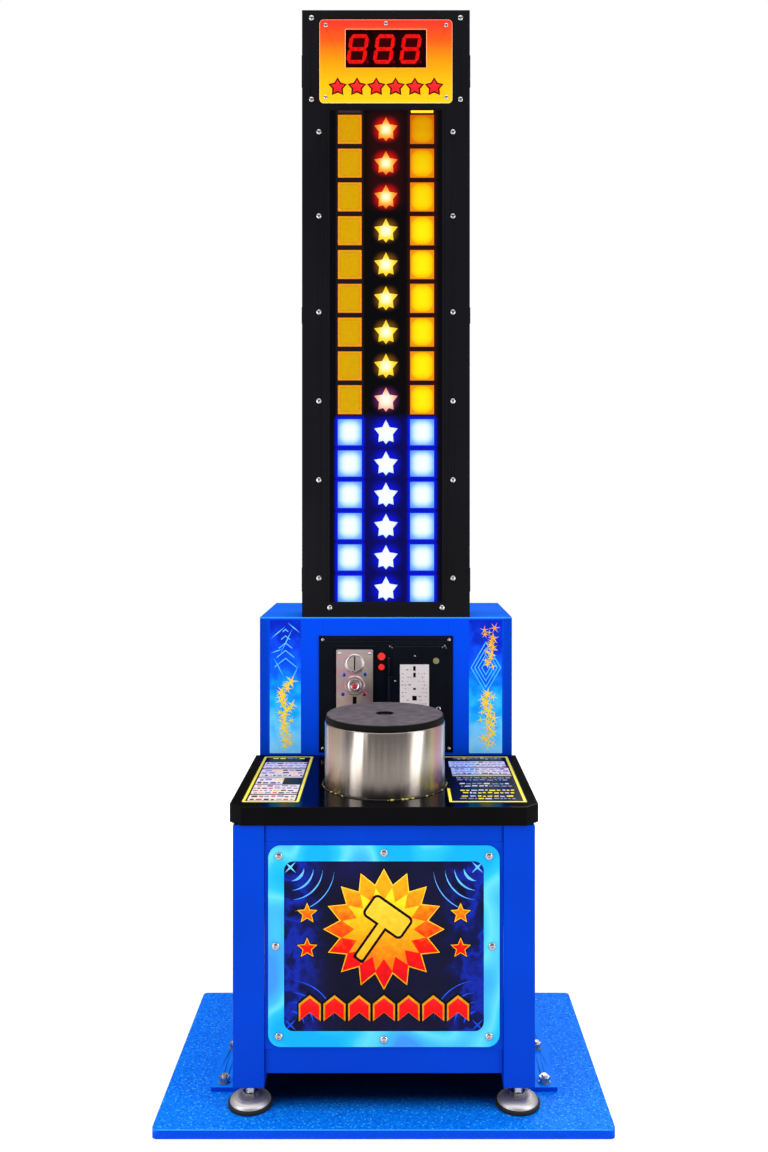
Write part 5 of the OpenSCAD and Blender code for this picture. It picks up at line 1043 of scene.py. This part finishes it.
plate_black = ink("black_vinyl", "#0B0A10 #05060F", **PLATE_PRINT)
plate_yellow = ink("yellow_line_print", "#ECE24E #C8B838", -320, 40, "Y", glow=0.25)
lavender = ink("lavender_white_print", [(0.0, "#E4D6C8"), (0.35, "#E8DCEA"), (0.6, "#D8C8DC"),
                                        (1.0, "#C4B4E0")], -290, 40, "Y", blotch_mm=14, glow=0.1)
ice_blue = ink("ice_blue_to_rose_print", [(0.0, "#A8B8F8"), (0.4, "#A8C0F4"), (0.5, "#D8CCD8"),
                                          (1.0, "#CDBEE0")], 140, 262, "X", blotch_mm=14, glow=0.1)
word_inks = {
    "dark": ink("dark_grey_print", "#2A2230 #40364A", **PLATE_PRINT),
    "yellow": ink("bright_yellow_print", "#E8D028 #F0E068", glow=0.15, **PLATE_PRINT),
    "orange": ink("orange_print", "#F0A818 #F4C450", glow=0.15, **PLATE_PRINT),
    "pale": ink("pale_lavender_print", "#C4C0E4 #DAD6EE", glow=0.1, **PLATE_PRINT),
    "red": ink("rose_red_print", "#C81C48 #F06C70", glow=0.1, **PLATE_PRINT),
    "violet": ink("grey_violet_print", "#8C82A8 #7684D0", glow=0.1, **PLATE_PRINT),
}


def band(x_range, y_range):
    """A plain strip of print."""
    return rounded((x_range[0], y_range[0]), (x_range[1], y_range[1]), 1.2, 2)


def print_on(name, shapes, level, finish):
    """Prints shapes on the rules plates, level layers above the table."""
    cut_sheet(name, shapes, TABLE_FACE + level * ART_LAYER, finish, "table")


for plate, (left, right) in (("left_plate", LEFT_PLATE), ("right_plate", RIGHT_PLATE)):
    print_on(plate + "_base", [rounded((left - 2, PLATE_NEAR - 2), (right + 2, PLATE_FAR + 2), 5)], 0,
             plate_black)
outline = [rounded((LEFT_PLATE[0] + i, PLATE_NEAR + i), (LEFT_PLATE[1] - i, PLATE_FAR - i), 4 - i / 2)
           for i in (0, LINE_W)]
print_on("left_plate_outline", [outline], 1, plate_yellow)
left, right = RIGHT_PLATE
inner = right - LINE_W
open_outline = [
    (left, 0), (left, PLATE_FAR), (right, PLATE_FAR), (right, PLATE_NEAR), (left, PLATE_NEAR),
    (left, OPEN_FROM), (left + LINE_W, OPEN_FROM), (left + LINE_W, PLATE_NEAR + LINE_W),
    (inner, PLATE_NEAR + LINE_W),
    (inner, PLATE_FAR - LINE_W), (left + LINE_W, PLATE_FAR - LINE_W), (left + LINE_W, 0)]
print_on("right_plate_outline", [open_outline], 1, plate_yellow)

print("plate inks:", sorted(word_inks))

# %% [markdown]
# Nothing on the plates can be read: they carry bars and dashes, like words seen from far. Each strip is
# filled line by line with bars of random length and height, in inks drawn from the strip's own few, and
# all bars of one ink become one sheet.

# %% Bars and dashes in place of words
def scatter_words(kept, kinds, x_range, y_range, lines):
    """Fills a strip with lines of bars of random length and adds each to the ink it is printed in."""
    height = (y_range[1] - y_range[0]) / lines
    for line in range(lines):
        x = x_range[0] + chance.uniform(1, 10)
        while x < x_range[1] - 6:
            length = min(chance.uniform(4, 14), x_range[1] - x)
            low = y_range[0] + height * (line + chance.uniform(0.12, 0.3))
            high = low + height * chance.uniform(0.35, 0.55)
            kept.setdefault(chance.choice(kinds), []).append(band((x, x + length), (low, high)))
            x += length + chance.uniform(2, 4.5)


def fill_plate(plate, strips):
    """Prints the words of a plate, one sheet for each ink."""
    words = {}
    for strip, kinds, lines in strips:
        scatter_words(words, kinds.split(), *strip, lines)
    for kind, shapes in words.items():
        print_on("{}_words_{}".format(plate, kind), shapes, 2, word_inks[kind])


RIGHT_WORDS = (146, 262)
left_bands = [((-265, -173), y_range) for y_range in ((-69, -16), (-136, -76), (-266, -199), (-313, -273))]
left_bands += [((-265, -210), (-193, -148)), ((-265, -173), (-144, -139))]
right_bands = [((139, 263), (-58, -8)), ((142, 266), (-119, -64))]
left_strips = ((left_bands[0], "dark violet violet", 3), (left_bands[1], "dark violet dark orange", 3),
               (left_bands[2], "red dark orange violet violet", 4), (left_bands[3], "red dark violet", 2),
               (left_bands[4], "dark yellow violet", 2),
               (((-262, -176), (12, 26)), "yellow violet yellow", 1))
right_strips = ((right_bands[0], "dark violet violet", 3), (right_bands[1], "dark violet violet", 3),
                ((RIGHT_WORDS, (-170, -137)), "violet", 2),
                ((RIGHT_WORDS, (-216, -183)), "violet pale violet", 2),
                ((RIGHT_WORDS, (-266, -230)), "yellow yellow pale", 2),
                ((RIGHT_WORDS, (-305, -273)), "pale violet yellow", 2),
                ((RIGHT_WORDS, (10, 26)), "violet yellow red", 2))
print_on("left_plate_bands", [band(*strip) for strip in left_bands], 1, lavender)
fill_plate("left_plate", left_strips)
print_on("right_plate_bands", [band(*strip) for strip in right_bands], 1, ice_blue)
print_on("right_plate_line", [band((142, 266), (-131, -125))], 1, plate_yellow)
fill_plate("right_plate", right_strips)

# %% [markdown]
# ## A row of stars on the marquee
#
# The strip below the display would carry the maker's lettering. Here it carries a plain row of red
# stars with a dark edge, printed on the acrylic.

# %% Marquee stars
MARQUEE_FACE = -49.5
MARQUEE_STARS, MARQUEE_STAR_PITCH, MARQUEE_STAR_Z = 6, 44, 2123


def star_row(reaches):
    """A row of stars with the same outer and inner reach."""
    return [star(5, *reaches, ((i - (MARQUEE_STARS - 1) / 2) * MARQUEE_STAR_PITCH, MARQUEE_STAR_Z))
            for i in range(MARQUEE_STARS)]


marquee_red = ink("translucent_red_print", "#D8181C #E8282C", 2108, 2146, glow=0.4)
marquee_dark = ink("maroon_outline_print", "#4A1208 #641610", 2108, 2146, glow=0.1)
cut_layers("marquee_stars", star_row, MARQUEE_FACE,
           (("edge", (22.6, 12.8), marquee_dark), ("face", (16.4, 8.2), marquee_red)))
print("marquee:", MARQUEE_STARS, "stars")

# %% [markdown]
# ## Small trim
#
# The last pieces are small turned parts and labels. `spun` works like a lathe: it turns a profile of
# radius and height about an axis that points out of the machine's front. A profile that starts on the
# axis gives a solid button, and one that starts beside it gives a ring.
#
# The coin faceplate is held and sealed by eight small screws, four of them colour-passivated, and a
# nickel bezel rings its coin slot. The return button has a red gem in a nickel ring, and both move with
# it. The door has two fasteners, a second keyhole rosette low on its right and a blue service label, and
# they turn with the door.

# %% The lathe and what it turns
FACEPLATE_FACE, BOSS_FACE, BUTTON_FACE, DOOR_FACE, INFO_FACE = 44.5, 41.5, 38.5, 44.7, 43.2
SMALL_SCREW, LARGE_SCREW, DOOR_SCREW = ([(r * size, h) for r, h in (
    (0, 0), (3.2, 0), (3.2, 0.5), (2.6, 1.2), (1.3, 1.6), (1.2, 0.8), (0, 0.8))] for size in (1, 1.35, 0.7))


def spun(name, profile, places, finish, body="root", sides=24):
    """Turns a profile of (radius, height) in mm once for each place (x, y, z) in mm."""
    lathe = bmesh.new()
    for x, y, z in places:
        rings = []
        for radius, height in profile:
            steps = sides if radius else 1
            turn = [polar((x, z), radius, 360 * i / steps) for i in range(steps)]
            rings.append([lathe.verts.new((u * mm, (y - height) * mm, v * mm)) for u, v in turn])
        if profile[0][0]:
            rings.append(rings[0])
        for a, b in zip(rings, rings[1:]):
            for i in range(sides):
                corners = [a[i % len(a)], a[(i + 1) % len(a)], b[(i + 1) % len(b)], b[i % len(b)]]
                lathe.faces.new(list(dict.fromkeys(corners)))
    mesh = hand_over(lathe, name, finish, body)
    mesh.shade_smooth()
    mesh.set_sharp_from_angle(angle=math.radians(35))


spun("faceplate_screws_plain", SMALL_SCREW, [(x, FACEPLATE_FACE, z) for x in (-105, -37) for z in (834, 688)],
     pale_nickel)
spun("faceplate_screws_blue", LARGE_SCREW,
     [(x, FACEPLATE_FACE, z) for x, z in ((-95, 785), (-47.5, 786), (-98, 741))], screw_blue)
spun("faceplate_screw_red", LARGE_SCREW, [(-49, FACEPLATE_FACE, 741)], screw_red)
spun("return_button_gem", [(0, 0), (6.4, 0), (6.4, 0.6), (5.2, 1.6), (2.8, 2.2), (0, 2.4)],
     [(-71, BUTTON_FACE, 760)], red_gem, "return_button", 32)
spun("return_button_ring", [(7.6, 0), (15.2, 0), (14.8, 0.8), (12.0, 2.0), (9.0, 1.6), (7.8, 0.8)],
     [(-71, BUTTON_FACE, 761)], pale_nickel, "return_button", 40)
spun("coin_bezel", [(15.6, 0), (20.6, 0), (20.0, 0.7), (18.2, 1.3), (16.2, 0.8)], [(-71, BOSS_FACE, 811)],
     pale_nickel, sides=40)
spun("door_rosette", [(2.4, 0), (5.0, 0), (4.8, 0.7), (3.8, 1.2), (2.8, 0.9)], [(119.5, DOOR_FACE, 708)],
     zinc_plate, "service_door")
spun("door_screws", DOOR_SCREW, [(66, DOOR_FACE, 828), (21.5, DOOR_FACE, 771)], zinc_plate,
     "service_door")

# %% [markdown]
# The rest is nearly all flat: the door's label with two bars, grey spots at its upper corners that are
# painted highlights, and the rows of dark marks etched on the information plate, a brushed sheet on the
# door. A tenth row of lights is mostly hidden behind the head, and only its lower edge shows above the
# ninth: yellow on the lit side, dark on the other. The mains inlet at the back has three pins.

# %% Labels, painted highlights, etched marks, tenth row and inlet pins
TENTH_LOW, TENTH_HIGH, TENTH_HALF_W, LIGHT_PANEL_FACE = 2066.4, 2071.8, 25.5, -55.5
MARK_ROWS, FIRST_MARK_Z, MARK_PITCH = 12, 701, 8.6

label_blue = ink("blue_label_print", "#0A2A9C #1440C4", 628, 690)
label_white = ink("white_label_print", "#D8DCE8 #F0F2F8", 628, 690)
etched = ink("dark_etched_marks", "#4A4448 #5C555A", 690, 810)
# the grey of the painted highlights on the door's upper corners
grey_on_black = ink("grey_corner_highlight_print", "#6C7078 #8C9098", 600, 880)
strip_lit = ink("amber_strip_lit", "#E8A018 #F8CC30", TENTH_LOW, TENTH_HIGH, glow=0.9)
strip_dim = ink("amber_strip_unlit", "#2E2024 #3C2C32", TENTH_LOW, TENTH_HIGH)

# painted highlights: grey spots where the door's upper corners catch the light
corner_glints = [star(3, reach, reach * 0.4, place, turn) for reach, place, turn in (
    (3.0, (9, 850), 20), (2.2, (14, 847), 70), (2.4, (129, 848), 40), (3.2, (134, 851), 100),
    (2.0, (137, 846), 10))]
cut_sheet("service_label", [rounded((115, 629), (131, 690), 1.5, 3)], -DOOR_FACE, label_blue,
          body="service_door")
cut_sheet("service_label_bars", [band((117, 129.5), (661, 668)), band((119, 129.5), (634, 637))],
          -DOOR_FACE + ART_LAYER, label_white, body="service_door")
cut_sheet("door_corner_highlights", corner_glints, -DOOR_FACE, grey_on_black, body="service_door")
marks = []
for row in range(MARK_ROWS):
    level = FIRST_MARK_Z + row * MARK_PITCH
    for left, right in ((35, 58), (73, 94)):
        x = left + chance.uniform(0, 4)
        while x < right - 3:
            length = chance.uniform(1.5, 6)
            if chance.random() < 0.6:
                marks.append(band((x, min(x + length, right)), (level, level + chance.uniform(1.2, 2.6))))
            x += length + chance.uniform(2, 5)
cut_sheet("info_plate_marks", marks, -INFO_FACE, etched, body="service_door",
          thickness=0.08)
for side, middle, finish in (("lit", COLUMN_PITCH, strip_lit), ("dim", -COLUMN_PITCH, strip_dim)):
    edge = rounded((middle - TENTH_HALF_W, TENTH_LOW), (middle + TENTH_HALF_W, TENTH_HIGH), 1, 3)
    cut_sheet("tenth_light_edge_" + side, [edge], LIGHT_PANEL_FACE, finish)
spun("inlet_pins", [(0, 0), (1.9, 0), (1.9, 8.0), (1.4, 9.2), (0, 9.6)],
     [(143, 385, 446), (157, 385, 446), (150, 385, 455)], pale_nickel, sides=12)
print("flat trim:", len(marks), "etched marks and", len(corner_glints), "spots of wear")
